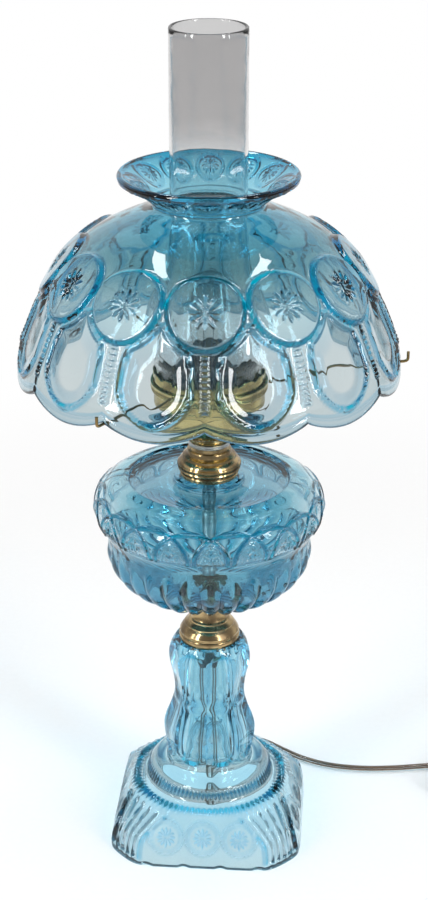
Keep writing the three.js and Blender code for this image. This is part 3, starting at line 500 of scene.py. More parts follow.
# %% Routes
CORD_REST = 2.6
CORD_TOP = 315.8
BEND = 30
turning = [Vector(point) for point in ((0, 0, CORD_REST + BEND), (0, 0, CORD_REST), (0, BEND, CORD_REST))]
inner_route = [Vector((0, 0, CORD_TOP - 6 * i)) for i in range(47)]
inner_route += [bent(*turning, i / 10) for i in range(11)]
inner_route += [Vector((0, 36 + 6.7 * i, CORD_REST)) for i in range(6)]

run_points = [
    (0, 69.8, 2.6), (0, 80, 2.6), (5.5, 93.5, 2.6), (19, 100, 2.6), (35, 96.5, 2.6), (50, 86, 2.6),
    (66, 75, 2.6), (86, 67, 2.6), (110, 64, 2.6), (136, 66, 2.6), (162, 71, 2.6), (184, 74.6, 3),
    (198, 76, 3.9), (207.1, 76, 3.9),
]
tail_points = [
    (247.2, 35.9, 20.4), (247.2, 26.2, 19.4), (246.4, 10, 13.4), (244.5, -8, 8.4), (242.4, -24, 7.1),
    (240.9, -38, 7.1),
]

COIL_X, COIL_Y, COIL_RADIUS, COIL_BAND = 212.4, 41.2, 34.8, 12.4
COIL_TURNS, COIL_LAYERS, COIL_POINTS = 8.25, 4, 330
COIL_FOOT, LAYER_RISE = 3.9, 5.5


def coil_point(turns):
    """The cord is wound inwards on one layer and outwards on the next, and climbs where layers meet."""
    per_layer = COIL_TURNS / COIL_LAYERS
    layer = min(int(turns / per_layer), COIL_LAYERS - 1)
    along = turns / per_layer - layer
    inwards = along if layer % 2 == 0 else 1 - along
    radius = COIL_RADIUS - inwards * COIL_BAND
    nearest = min(max(round(turns / per_layer), 1), COIL_LAYERS - 1)
    height = COIL_FOOT + LAYER_RISE * (nearest - 1 + ease(2 * (turns - nearest * per_layer) + 0.5, 0, 1))
    azimuth = pi - turns * tau
    return Vector((COIL_X + radius * sin(azimuth), COIL_Y - radius * cos(azimuth), height))


coil_route = [coil_point(COIL_TURNS * i / COIL_POINTS) for i in range(COIL_POINTS + 1)]
tail_route = flowing(tail_points, 6)
free_route = flowing(run_points, 8) + coil_route + tail_route
print("free cord:", round(Line(free_route).length), "mm along the floor")


# %% Tubes along a route
def shown_object(name, data, finish, body, nodes=()):
    data.materials.append(finish)
    thing = placed(name, data)
    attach(thing, body)
    if nodes:
        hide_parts(*nodes)
    return thing


def wire(name, route, radius, finish, nodes=(), sides=3, swell=None):
    """A tube of the fixed lamp. swell makes it thicker or thinner along its way."""
    data = bpy.data.curves.new(name, "CURVE")
    data.dimensions = "3D"
    data.bevel_depth = radius * MM
    data.bevel_resolution = sides
    data.use_fill_caps = True
    spline = data.splines.new("POLY")
    spline.points.add(len(route) - 1)
    for i, (point, place) in enumerate(zip(spline.points, route)):
        point.co = (*(place * MM), 1)
        point.radius = swell(i / (len(route) - 1)) if swell else 1
    return shown_object(name, data, finish, "lamp", nodes)


def beside(route, offset, fixed=None):
    """The route moved sideways, for one of two strands."""
    moved = []
    for i, place in enumerate(route):
        ahead = route[min(i + 1, len(route) - 1)] - route[max(i - 1, 0)]
        side = fixed or ahead.cross(Vector((0, 0, 1))).normalized()
        moved.append(place + side * offset)
    return moved


CORD_RADIUS = 2.5
STRAND_RADIUS = 0.6
free_solids = ["cord_run", "cord_coil", "cord_tail"]
free_cord = wire("free_cord", free_route, CORD_RADIUS, jacket_plastic, free_solids)
inner_cord = wire("inner_cord", inner_route, CORD_RADIUS, jacket_plastic, ["cord_inner"])
sideways = Vector((1, 0, 0))
for side, offset in (("left", -1.15), ("right", 1.15)):
    wire(f"free_strand_{side}", beside(free_route, offset), STRAND_RADIUS, copper, sides=2)
    wire(f"inner_strand_{side}", beside(inner_route, offset, sideways), STRAND_RADIUS, copper, sides=2)


def relief_swell(t):
    """Thicker towards the plug, with ripples."""
    return 2.9 + 1.9 * t * t + 0.25 * sin(50 * t)


relief_route = [p for p in tail_route if p[1] < -12]
plug_relief = wire("plug_relief", relief_route, 1.0, plug_plastic, sides=4, swell=relief_swell)
print("cord pieces:", free_cord.name, inner_cord.name, plug_relief.name)

# %% [markdown]

# %% [markdown]
# ## Two ways to make a round piece
#
# A plain turned piece is an outline spun round the axis. Pressed glass has a pattern all round as well, and
# for that a flat grid works better: its columns are directions and its rows are stations along the section,
# and every corner is moved to its place with the pattern added. Faces can be split first where the pattern
# is fine. The grid is rolled up, the two seams are merged and the normals are worked out again.


# %% Spinning an outline
def finished(bm, name, finish, body, nodes, turn=0.0, crease=35):
    bmesh.ops.scale(bm, vec=(MM, MM, MM), verts=bm.verts)
    bmesh.ops.rotate(bm, cent=(0, 0, 0), matrix=Matrix.Rotation(radians(turn), 3, "Z"), verts=bm.verts)
    for face in bm.faces:
        face.smooth = True
    triangles = sum(len(face.verts) - 2 for face in bm.faces)
    open_edges = sum(not edge.is_manifold for edge in bm.edges)
    mesh = bpy.data.meshes.new(name)
    bm.to_mesh(mesh)
    bm.free()
    mesh.set_sharp_from_angle(angle=radians(crease))
    print(f"{name}: {triangles} triangles, {open_edges} open edges")
    return shown_object(name, mesh, finish, body, nodes)


def turned(outline, steps):
    """A closed outline of (radius, height) spun round the axis."""
    bm = bmesh.new()
    corners = [bm.verts.new((radius, 0, height)) for radius, height in outline]
    edges = [bm.edges.new(pair) for pair in zip(corners, corners[1:] + corners[:1])]
    axis = {"cent": (0, 0, 0), "axis": (0, 0, 1), "angle": tau}
    bmesh.ops.spin(bm, geom=corners + edges, steps=steps, use_merge=True, **axis)
    bmesh.ops.remove_doubles(bm, verts=bm.verts, dist=0.002)
    bmesh.ops.dissolve_degenerate(bm, edges=bm.edges, dist=0.0005)
    bmesh.ops.recalc_face_normals(bm, faces=bm.faces)
    return bm


# %% Rolling a grid
# A row is a station of a section. It holds how far along the section it lies, how much pattern it takes, which
# way is out (two numbers), and its radius and height. The foot's rows add two numbers for its square.
DISTANCE, WEIGHT, OUT, UP, RADIUS, HEIGHT, CORNER, SQUARE = range(8)


def plain_rows(points, weight=0):
    """Rows through the given places of the section, without a pattern of their own."""
    return [Vector((0, weight, 0, 0, *point)) for point in points]


def evenly(line, count):
    return [line.at(line.length * i / count) for i in range(count + 1)]


def outer_rows(line, *plan):
    """Rows with a pattern: plan holds pairs of a distance along the line and the step between rows up to it."""
    rows, start = [], 0.0
    for end, spacing in plan:
        count = max(round((end - start) / spacing), 1)
        for i in range(count + (end == plan[-1][0])):
            distance = start + (end - start) * i / count
            rows.append(Vector((distance, 1.0, *line.outwards(distance), *line.at(distance))))
        start = end
    return rows


def rolled(columns, rows, place, crowded=None):
    """A closed shell. place(azimuth, row) gives a corner's radius and height, and may add what is painted."""
    bm = bmesh.new()
    last = len(rows) - 1
    bmesh.ops.create_grid(bm, x_segments=columns, y_segments=last, size=1)
    assert len(bm.verts) == (columns + 1) * (last + 1), len(bm.verts)

    def spot(vert):
        azimuth = (vert.co.x + 1) * pi
        at = (vert.co.y + 1) / 2 * last
        low = min(int(at + 1e-4), last - 1)
        share = at - low
        row = rows[low] if share < 1e-3 else rows[low] + (rows[low + 1] - rows[low]) * share
        return azimuth, row

    if crowded:
        inside = {vert for vert in bm.verts if crowded(*spot(vert))}
        edges = [edge for edge in bm.edges if inside.issuperset(edge.verts)]
        bmesh.ops.subdivide_edges(bm, edges=edges, cuts=1, use_grid_fill=True)
    layers = [bm.verts.layers.float.new(name) for name in ("relief", "deep", "frost")]
    seams = [vert for vert in bm.verts if vert.is_boundary]
    for vert in bm.verts:
        azimuth, row = spot(vert)
        radius, height, *painted = place(azimuth, row)
        vert.co = (radius * cos(azimuth), radius * sin(azimuth), height)
        for layer, value in zip(layers, painted):
            vert[layer] = value
    bmesh.ops.remove_doubles(bm, verts=seams, dist=0.01)
    paint_slopes(bm, *layers[:2])
    bmesh.ops.recalc_face_normals(bm, faces=bm.faces)
    return bm


SLOPE_SHADE = 1.5


def paint_slopes(bm, relief, deep):
    """Painted shade: where the relief is steep, glass bends the light to what is dark, so the tint is deepened
    there.
    """
    for vert in bm.verts:
        steepest = 0.0
        for edge in vert.link_edges:
            rise = abs(edge.other_vert(vert)[relief] - vert[relief])
            steepest = max(steepest, rise / max(edge.calc_length(), 0.2))
        vert[deep] = min(vert[deep] + SLOPE_SHADE * steepest, 1.0)


def raised(row, pattern, tint=0.0, painted=None):
    """A row's radius and height with the pattern added square to the surface, and what is painted there."""
    move = row[WEIGHT] * pattern
    radius, height = row[RADIUS] + row[OUT] * move, row[HEIGHT] + row[UP] * move
    return radius, height, move if painted is None else painted, tint


# %% [markdown]
# ## The pattern's ornaments
#
# The same star is pressed on the shade, its crown and the foot: twelve narrow cuts that meet in the middle.
# Each ornament is a small function of a place on the surface, in millimetres, that gives how far the glass
# stands out. Pressed glass has crisp cuts with softened edges, so a cut is a V with no flat bottom.


# %% Stars and ridges
STAR_RAYS = 12


def star(across, along, size, depth):
    far = hypot(across, along)
    if far >= size:
        return 0.0
    turn = atan2(across, along) * STAR_RAYS / tau
    off = abs(turn - round(turn)) * tau / STAR_RAYS
    half = 0.145 * size * sin(pi * (far / size) ** 1.25) ** 0.8 + 0.12
    return -depth * max(0.0, 1 - far * sin(off) / half)


def ridge(distance, half):
    """A rounded ridge of height 1 that is gone at half its width."""
    share = distance / half
    return (1 - share * share) ** 2 if abs(share) < 1 else 0.0


def from_nearest(azimuth, step):
    """The angle to the nearest of several directions that are a step apart."""
    return azimuth - round(azimuth / step) * step


# %% [markdown]
# ## The shade
#
# The shade is one pressing: twelve lobes at the edge, a loop in every lobe, a row of beads between the loops,
# and above them twelve flat round faces with a star each. The dome over them is plain, and a flared crown
# repeats the round faces in small. It hangs on the arms by its edge, so the CAD outline is kept and only the
# pattern is added to the outside. The real glass is smooth inside.

# %% The shade's outline
SHADE_TURN = 3.3
LOBES = 12
REPEAT = tau / LOBES
EDGE_DROP = 9

dome_points = [
    (128.1, 358.6), (126.5, 370.2), (122.4, 385), (116.5, 400), (109.1, 415), (100.9, 430), (89.1, 442.8),
    (79, 450.8), (64.4, 459), (48, 466.4), (40, 470), (37.2, 473.2), (37.5, 475), (41.3, 479), (48, 484.2),
    (55, 488), (58.6, 489.4), (59.3, 490.6),
]
shade_outside = Line(flowing(dome_points, 14))
shade_inside = shade_outside.inset(4.4)
FACE_MIDDLE = shade_outside.where(432)
NECK_AT = shade_outside.where(471.5)
CROWN_AT = NECK_AT + 17
print("shade: round faces at", round(FACE_MIDDLE, 1), "mm, neck at", round(NECK_AT, 1), "mm")


# %% The shade's pattern
FACE_SIZE = 25
FACE_BULGE = 260
FACE_STAR, CROWN_STAR = 10.7, 6.4
LOOP_WIDE, LOOP_LOW, LOOP_HIGH = 23, 23, 39
LOOP_AT = FACE_MIDDLE - 49
BEAD_HALF, BEAD_PITCH = 3.4, 3.6


def round_face(far):
    """A flat face on a curved wall stands out most at its edge, which is rounded off."""
    return (1.3 + 0.75 * far * far / FACE_BULGE) * (1 - ease(far, FACE_SIZE - 2.8, FACE_SIZE + 0.6))


def lobe_loop(across, distance):
    """How far a place is from the loop's ridge: less than nothing inside it."""
    up = distance - LOOP_AT
    high = LOOP_LOW if up < 0 else LOOP_HIGH
    shape = (across / LOOP_WIDE) ** 2 + (up / high) ** 2 - 1
    slope = 2 * hypot(across / LOOP_WIDE**2, up / high**2)
    return shape / max(slope, 0.02)


def crown_pattern(across, rise):
    arc = ridge(hypot(across, rise) - 9.8, 1.8) * (0.5 + 0.5 * ease(rise, -9, 8))
    cuts, lines = star(across, rise, CROWN_STAR, 1.2), 1.3 * arc + 0.5 * ridge(rise - 12.2, 1.6)
    return lines + cuts, lines + 0.6 * cuts, 0.0


def shade_pattern(azimuth, row):
    """The relief, how much of it the slopes' painted shade follows, and an added tint of painted shade."""
    distance, radius = row[DISTANCE], row[RADIUS]
    rib = from_nearest(azimuth, REPEAT)
    across = radius * rib
    if distance > NECK_AT - 2:
        return crown_pattern(across, distance - CROWN_AT)
    along = distance - FACE_MIDDLE
    far = hypot(across, along)
    if far < FACE_SIZE + 0.6:
        face, cuts = round_face(far), star(across, along, FACE_STAR, 1.5)
        # painted shade: a darker arc along the upper rim of each round face
        return face + cuts, face + 0.4 * cuts, ridge(far - 23.4, 3.0) * ease(along, 4, 17)
    if along > FACE_SIZE + 1:
        return 0.0, 0.0, 0.0
    lobe = radius * (abs(rib) - REPEAT / 2)
    loop = max(lobe_loop(lobe, distance), FACE_SIZE + 2.4 - far)
    pattern = painted = 1.4 * ridge(loop, 2.4) - 1.7 * ease(-loop, 1.0, 15)
    if 15 < distance < FACE_MIDDLE - 26.5 and abs(across) < BEAD_HALF:
        bead = 0.35 + 0.65 * abs(cos(pi * distance / BEAD_PITCH))
        pattern = max(pattern, 1.25 * (1 - (across / BEAD_HALF) ** 2) * bead)
        painted = 0.4 * pattern
    line = 0.5 * ridge(distance - 5.5, 1.4)
    return pattern - line, painted - line, 0.0


def shade_place(azimuth, row):
    edge = row[HEIGHT]
    # the lip and the lower edge get a deeper tint, and the round faces' arcs add painted shade
    tint = 0.5 * ease(edge, 487.5, 490.2) + 0.35 * (1 - ease(edge, 357.5, 360))
    pattern, painted, arc = shade_pattern(azimuth, row) if row[WEIGHT] else (0.0, 0.0, 0.0)
    radius, height, *paint = raised(row, pattern, max(tint, arc), painted)
    hang = 1 - abs(sin(LOBES / 2 * azimuth)) ** 0.8
    return radius, height + EDGE_DROP * hang * max(0.0, 1 - (edge - 356.4) / 34), *paint


def shade_crowded(azimuth, row):
    if row[WEIGHT] < 1:
        return False
    distance, across = row[DISTANCE], row[RADIUS] * from_nearest(azimuth, REPEAT)
    on_star = hypot(across, distance - FACE_MIDDLE) < 11.5 or hypot(across, distance - CROWN_AT) < 7
    return on_star or (abs(across) < 4 and 15 < distance < FACE_MIDDLE - 26)


# %% The shade's rows
RIM_REACH = 2.1
shade_plan = ((FACE_MIDDLE - 26, 1.2), (FACE_MIDDLE + 27, 1.5), (NECK_AT - 4, 3.2), (shade_outside.length, 1.4))
shade_outer = outer_rows(shade_outside, *shade_plan)
shade_inner = evenly(shade_inside, round(shade_inside.length / 5.5))
shade_inner = rim(shade_outer[-1][RADIUS:], shade_inner[0], RIM_REACH) + shade_inner
shade_inner += rim(shade_inner[-1], shade_outer[0][RADIUS:], RIM_REACH)
shade_rows = shade_outer + plain_rows(shade_inner) + [shade_outer[0].copy()]
shade_bm = rolled(432, shade_rows, shade_place, shade_crowded)
finished(shade_bm, "pressed_shade", shade_glass, "shade", ["shade"], SHADE_TURN, 40)

# %% [markdown]
# ## The font
#
# The font was the oil bowl. Its belly has thirty rounded ribs with sharp valleys between them, and above the
# waist runs a band of arches: each reaches over its neighbours' feet, so that they cross, and a fan of fine
# cuts fills the space under every crossing. The top is flat with a round step, and two faint seams show
# where the mould's halves met.

# %% The font's outline
FONT_TURN = 5.4
GADROONS = 30
ARCH = tau / 18

font_points = [
    (26.2, 188.5), (39.8, 191.7), (54.1, 198.6), (63.6, 206.8), (69.6, 216.5), (71.4, 225.2), (70.5, 233),
    (70.3, 237), (72.4, 242.5), (75, 246.6), (78, 251), (79.4, 258.2), (76.7, 268.3), (66, 277), (57, 279),
]
font_outside = Line(flowing(font_points, 12))
BAND_AT = font_outside.where(247.6)
BAND_HIGH = 22
BAND_RADIUS = 79
font_top = [
    (55.8, 279.1), (55.2, 278.7), (54.8, 277.8), (54.2, 277.5), (40, 277.5), (26, 277.5), (24.5, 277.8),
    (24, 279.8), (23.4, 280.2), (14, 280.2),
]
font_bore = [
    (14, 275.2), (40, 275.1), (59.6, 272.6), (69, 268), (73.8, 258.8), (71, 248), (64.8, 235.2), (65.2, 223),
    (62, 213), (47.7, 202.5), (34, 196.5), (22.4, 193.5),
]
font_floor = [(22.4, 193.5), (5.15, 193.5), (5.15, 188.5), (26.2, 188.5)]
print("font: band of arches at", round(BAND_AT, 1), "mm up the outside")


# %% The font's pattern
def arch_pattern(azimuth, up):
    """The relief of the band, and how much of it the slopes' tint follows."""
    turn = azimuth / ARCH
    high = up / BAND_HIGH
    inside = 0
    pattern = 0.0
    for to_centre in (-0.5, 0.5, -1.5, 1.5):
        shape = (abs(turn - (round(turn) + to_centre)) / 0.92) ** 2.2 + max(high, 0) ** 2.2
        inside += shape < 1
        pattern = max(pattern, ridge((shape - 1) * 8.5, 1.1))
    if pattern or high < 0 or inside < 2:
        return 0.95 * pattern, 1.2 * pattern
    across = (turn - round(turn)) * ARCH * BAND_RADIUS
    fall = max(0.86 - high, 0)
    cuts = [abs(across - ray * 2.9 * fall / 0.8) for ray in range(-3, 4)]
    cut = -0.8 * max(0.0, 1 - min(cuts) / (0.35 + 0.7 * fall)) if fall else 0.0
    return cut, 0.25 * cut


def font_pattern(azimuth, distance):
    azimuth = (azimuth + pi / 2) % tau
    valley = 1 - abs(cos(azimuth * GADROONS / 2))
    belly = -3.1 * valley * ease(distance, 2, 12) * (1 - ease(distance + 6 * valley, 67, 76))
    band = painted = 0.0
    if BAND_AT - 1 < distance < BAND_AT + 26:
        band, painted = arch_pattern(azimuth, distance - BAND_AT - 1.5)
    lines = 0.7 * ridge(distance - BAND_AT, 1.3) + 0.5 * ridge(distance - BAND_AT + 13.5, 1.2)
    seam = max(ridge((azimuth - radians(at)) * 75, 1.3) for at in (78, 258))
    rest = belly + lines + 0.35 * seam * ease(distance, 70, 76)
    return rest + band, rest + painted


def font_place(azimuth, row):
    radius, height = row[RADIUS], row[HEIGHT]
    # painted shade: the flat top and the ring of its step are tinted darker
    top_shade = (height > 277) * (radius < 56.4)
    step = 0.9 * ridge(radius - 55.2, 2.2) if height > 276 else 0
    pattern, painted = font_pattern(azimuth, row[DISTANCE]) if row[WEIGHT] else (0.0, 0.0)
    return raised(row, pattern, max(0.6 * top_shade, step), painted)


def font_crowded(azimuth, row):
    return row[WEIGHT] == 1 and BAND_AT < row[DISTANCE] < BAND_AT + 24


font_rows = outer_rows(font_outside, (BAND_AT - 14, 1.5), (BAND_AT + 25, 1.2), (font_outside.length, 2.0))
font_rows += plain_rows(font_top)
for line, spacing in ((Line(flowing(font_bore, 6)), 6), (Line(font_floor), 3.5)):
    font_rows += plain_rows(evenly(line, round(line.length / spacing))[1:])
font_rows.append(font_rows[0].copy())
font_bm = rolled(300, font_rows, font_place, font_crowded)
finished(font_bm, "pressed_font", font_glass, "lamp", ["font"], FONT_TURN, 38)

# %% [markdown]
# ## The foot and stem
#
# The foot is a square with its corners cut off. Each side has three round faces with stars, each corner has
# a fan of flutes, and a ring of small teeth stands where the square turns into the round stem. The stem has
# eight panels and swells twice. A power mean of the distances to the eight sides gives the section: a high
# power gives sides that are flat and corners that are soft, as pressed glass has.


# %% The foot's section
QUARTER = pi / 2
SOFTNESS = 26


def eight_sided(azimuth, corner):
    """Radius of a square with cut corners, for a half width of 1. corner is the cut's distance."""
    total = 0.0
    for k in range(4):
        total += max(cos(azimuth - k * QUARTER), 0) ** SOFTNESS
        total += (max(cos(azimuth - (k + 0.5) * QUARTER), 0) / corner) ** SOFTNESS
    return total ** (-1 / SOFTNESS)


def panelled(azimuth, height):
    """The stem's eight panels, each with an arched end, as a share of its edge radius."""
    off = (azimuth + pi / 8) % (pi / 4) - pi / 8
    middle = abs(abs(off) - pi / 8) / (pi / 8)
    arch = 5.5 * middle * middle
    low = ease(height, 60 + arch, 63.5 + arch)
    high = 1 - ease(height, 146.5 - arch, 150 - arch)
    waist = 1 - 0.75 * ridge(height - 106, 5)
    centre = pi / 8 - abs(off)
    flat = cos(pi / 8) / cos(centre)
    return 1 + (flat - 1) * 1.12 * low * high * waist


def round_section(points):
    return [(radius, height, 1, 0) for radius, height in points]


# A point of the foot's outline: radius, height, the cut corners' distance, and how square the section is.
foot_points = [
    (69.2, 0.6, 1.198, 1), (68.9, 4, 1.2, 1), (67.9, 10.4, 1.21, 1), (65.4, 20.1, 1.2, 1),
    (61.2, 29.7, 1.12, 1), (56.6, 36.4, 1.05, 0.9), (54.4, 38.6, 1.03, 0.4),
]
disc_points = [
    (52.4, 39.6), (50, 39.2), (46.8, 40.4), (45.2, 43.6), (44.2, 46.6), (42.2, 50.2), (38.2, 53),
    (33.4, 53.8),
]
stem_points = [
    (31.2, 55.4), (30.6, 60), (32.3, 69.2), (33, 80), (31.4, 87.7), (27.6, 97.9), (25.1, 108), (26, 120),
    (28.3, 130.2), (29.1, 136.7), (28.6, 143.2), (26.6, 149), (24.8, 151.6),
]
foot_outside = Line(flowing(foot_points + round_section(disc_points + stem_points), 8))
FACE_AT = foot_outside.where(21.5)
CREST_AT = foot_outside.where(39.2)
KNURL_AT = foot_outside.where(46)
STEM_AT = foot_outside.where(60)
print("foot, along its outside:", [round(at, 1) for at in (FACE_AT, CREST_AT, KNURL_AT, STEM_AT)], "mm")


# %% The foot's pattern
DISC_SPACING = 26.5


def side_end(row):
    """The angle from a side's middle to the cut corner."""
    return atan(row[CORNER] * sqrt(2) - 1)


def from_disc(across, distance):
    """A place as seen from the middle of the nearest round face."""
    near = min((-DISC_SPACING, 0, DISC_SPACING), key=lambda at: abs(across - at))
    return across - near, distance - FACE_AT


def to_disc(azimuth, row):
    return hypot(*from_disc(row[RADIUS] * tan(from_nearest(azimuth, QUARTER)), row[DISTANCE]))


def side_pattern(side, distance):
    if abs(side) > 42:
        return 0.0
    across, along = from_disc(side, distance)
    far = hypot(across, along)
    disc = -0.55 * ease(13.4 - far, 0, 1.2) + 0.45 * ridge(far - 10.6, 1.0)
    return disc + star(across, along, 6.6, 0.9) + 0.5 * ridge(far, 1.3)


def foot_pattern(azimuth, row):
    distance, height = row[DISTANCE], row[HEIGHT]
    if distance > CREST_AT + 8:
        return 0.45 * cos(90 * azimuth) * ridge(distance - KNURL_AT, 3.6)
    teeth = ridge(distance - CREST_AT, 3.6) * (0.2 + 1.1 * cos(80 * azimuth))
    off, meets = from_nearest(azimuth, QUARTER), side_end(row)
    if abs(off) < meets:
        flat = row[RADIUS] / cos(off)
        border = 0.9 * ridge(flat * (meets - abs(off)) - 1.5, 1.9) * ease(height, 3, 6)
        return teeth + (side_pattern(flat * sin(off), distance) + border) * (1 - ease(height, 34, 37))
    share = (abs(off) - meets) / (pi / 4 - meets) / 2
    flutes = -2.3 * abs(sin(5 * pi * share)) ** 0.8
    return teeth + flutes * ease(height, 2.5, 8) * (1 - ease(height, 33, 38))


def on_corner(azimuth, row):
    return abs(from_nearest(azimuth, QUARTER)) > side_end(row) and row[DISTANCE] < CREST_AT - 4


def foot_edge(azimuth, radius, height):
    """The lower edge lifts a little between the round faces, and opens for the cord at the back."""
    across = radius * sin(from_nearest(azimuth, QUARTER))
    lift = 1.3 * sum(ridge(abs(across) - at, 5) for at in (13.25, 39.8))
    back = radius * cos(azimuth) if sin(azimuth) > 0 else 99.0
    if abs(back) < 4.6:
        lift = 6.4 * (1 - (back / 4.6) ** 4) ** 0.5
    return lift + height * (12 - lift) / 12


def foot_place(azimuth, row):
    square = max(row[SQUARE], 0.0)
    section = eight_sided(azimuth, row[CORNER]) if square else 1.0
    section = 1 + (section - 1) * min(square, 1)
    radius, height, painted = row[RADIUS] * section, row[HEIGHT], 0.0
    on_disc = row[WEIGHT] > 0 and to_disc(azimuth, row) < 13
    if row[WEIGHT] and row[DISTANCE] > STEM_AT - 6:
        painted = radius * (panelled(azimuth, height) - 1)
        radius += painted
    elif row[WEIGHT]:
        move = foot_pattern(azimuth, row)
        radius, height = radius + row[OUT] * move, height + row[UP] * move
        painted = move * (0.3 if on_corner(azimuth, row) else 0.5 if on_disc else 1.0)
    if height < 12 and square:
        height = foot_edge(azimuth, radius, height)
    return radius, height, painted, 0.2 * (1 - ease(height, 0.5, 4)) * row[WEIGHT], 1.0 * on_disc


def foot_crowded(azimuth, row):
    return row[WEIGHT] >= 1 and row[DISTANCE] <= 40 and to_disc(azimuth, row) < 7.4


# %% The foot's rows
stem_top = [(24.2, 152.4), (5.15, 152.4), (5.15, 146.4)]
bore_points = round_section([(13, 146.4), (14.2, 128), (15.4, 109.4), (18, 80), (21, 56), (28, 45), (40, 38.6)])
bore_points += [(49.7, 33.6, 1.035, 0.6), (56.2, 25.9, 1.12, 1), (60.4, 17.5, 1.2, 1), (62.9, 9, 1.21, 1)]
bore_points += [(64.2, 0.6, 1.198, 1)]
foot_bore = Line(flowing(bore_points, 6))
foot_rows = outer_rows(foot_outside, (CREST_AT + 8, 1.25), (STEM_AT - 6, 1.1), (foot_outside.length, 1.9))
foot_rows += plain_rows(round_section(stem_top) + evenly(foot_bore, 34))
foot_rows += plain_rows(rim(foot_bore.points[-1], foot_outside.points[0], 0.6, 5)) + [foot_rows[0].copy()]
foot_bm = rolled(480, foot_rows, foot_place, foot_crowded)
finished(foot_bm, "pressed_pedestal", foot_glass, "lamp", ["pedestal"], crease=38)

# %% [markdown]
# ## The chimney and the bulb
#
# Both are blown glass: a thin even wall, and rims that a flame has rounded. An outline of the outside, its
# inset and two half round rims make the section, which is spun.


# %% Blown glass
def flat_points(line):
    return [point.to_2d() for point in line.points]


def blown(outside, wall, reach):
    outer, inner = flat_points(outside), flat_points(outside.inset(wall))
    return outer + rim(outer[-1], inner[0], reach) + inner + rim(inner[-1], outer[0], reach)


chimney_points = [
    (36.1, 336.6), (36.1, 352), (36.3, 360.5), (39.3, 368), (40.35, 378.2), (39.2, 387), (36.6, 396),
    (33.4, 408.4), (28.9, 423.5), (26.1, 441), (25.4, 461), (25.4, 500), (25.4, 550), (25.4, 585.8),
]
chimney_section = blown(Line(flowing(chimney_points, 8)), 2.0, 1.0)
finished(turned(chimney_section, 120), "blown_chimney", chimney_glass, "chimney", ["chimney"])

bulb_side = [
    (12.2, 335.3), (12.2, 349.9), (13.6, 358.4), (15.4, 365.6), (15.5, 380), (15.5, 395), (15.4, 409),
]
bulb_crown = [(15.4, 409), (14.3, 416.6), (11, 422.1), (6, 424.8), (0.01, 425.7)]
bulb_line = Line(flowing(bulb_side, 6) + flowing(bulb_crown, 6)[1:])
bulb_inside = [(max(p[0], 0.01), p[1]) for p in bulb_line.inset(0.9).points if p[0] > 0]
bulb_section = flat_points(bulb_line) + [(0.01, 424.8), *bulb_inside[1:]]
finished(turned(bulb_section, 64), "blown_bulb", bulb_glass, "bulb", ["bulb_glass"])

# %% [markdown]
# ## Spun and turned brass
#
# The bell under the font, the collar on it and the burner are spun from thin sheet over a form. Their
# mouldings are close rings with small rounded edges, and those edges catch the light, so the outlines below
# have many close points and are spun with enough steps to look round.


# %% Bell and collar
def lathed(name, outline, node, finish=brass, steps=128, turn=SHADE_TURN, crease=28):
    """A turned piece that is fixed to the lamp."""
    finished(turned(outline, steps), name, finish, "lamp", [node], turn, crease)


bell = [
    (21.4, 152.7), (21.5, 153.2), (21.5, 156.2), (21.2, 156.8), (20.6, 157.2), (20.6, 158), (21, 158.5),
    (21, 159.4), (20.6, 160.1), (19.8, 161.7), (18.7, 163.3), (17.9, 164), (17.6, 164.4), (17.6, 165.1),
    (16.6, 166), (15.2, 166.9), (14.5, 167.6), (14.5, 168.4), (14.1, 168.9), (13.1, 169.4), (12.6, 170.6),
    (12.1, 173.5), (11.9, 178), (12, 183), (12.1, 185), (12.5, 185.6), (13.2, 185.9), (13.4, 186.4),
    (13.4, 187.9), (10.8, 187.9), (10.8, 171), (13.1, 167.8), (18.1, 163.1), (20.2, 157.3), (20.2, 152.7),
]
lathed("spun_bell", bell, "bell_connector", turn=0)

collar = [
    (19.6, 280.5), (20, 280.9), (20.1, 282.8), (19.8, 283.3), (19.2, 283.6), (19.1, 284.3), (19.5, 284.8),
    (20.7, 285.1), (21.3, 285.6), (21.5, 286.3), (21.2, 286.9), (21.1, 287.3), (21.5, 287.7), (21.9, 288.4),
    (21.9, 289.6), (21.6, 290.3), (21, 290.6), (20.8, 291.1), (20.6, 291.9), (19.8, 292.8), (18.9, 293.5),
    (18.4, 293.9), (18.3, 294.5), (18.2, 295.4), (17.5, 296), (16.2, 296.4), (15.5, 296.8), (15.3, 297.6),
    (15.3, 299), (15, 299.8), (14.2, 300.2), (13.7, 300.5), (13.6, 301.2), (13.6, 303), (12.4, 303),
    (12.4, 298), (16.9, 294), (17.7, 280.5),
]
lathed("spun_collar", collar, "font_collar")
check = [
    (11.2, 303.3), (13.9, 303.3), (14.2, 303.6), (14.2, 304.3), (13.9, 304.6), (14.2, 304.9), (14.2, 306),
    (13.9, 306.3), (11.2, 306.3),
]
lathed("turned_check_ring", check, "check_ring", zinc, 96)

# %% [markdown]
# The gallery is a fluted band with a toothed upper edge that holds the chimney. The grid makes it: its upper
# rows are pushed out and lifted by a wave round the axis, sixteen to the turn.

# %% Burner
FLUTES = 16
bowl_points = [
    (13.6, 306.9), (14.6, 308.8), (18.5, 312.2), (22.4, 313.7), (29.6, 319.2), (33.6, 327.1), (34.5, 333.4),
]
bowl = flat_points(Line(flowing(bowl_points, 8))) + [(34.5, 333.9), (33.2, 333.9), (32.3, 327.3), (28.4, 320.1)]
bowl += [(21.9, 315.2), (18, 313.4), (12.3, 307.9), (5.15, 307.9), (5.15, 306.6), (13.2, 306.6)]
lathed("spun_burner_bowl", bowl, "burner_bowl", bright_brass, crease=30)

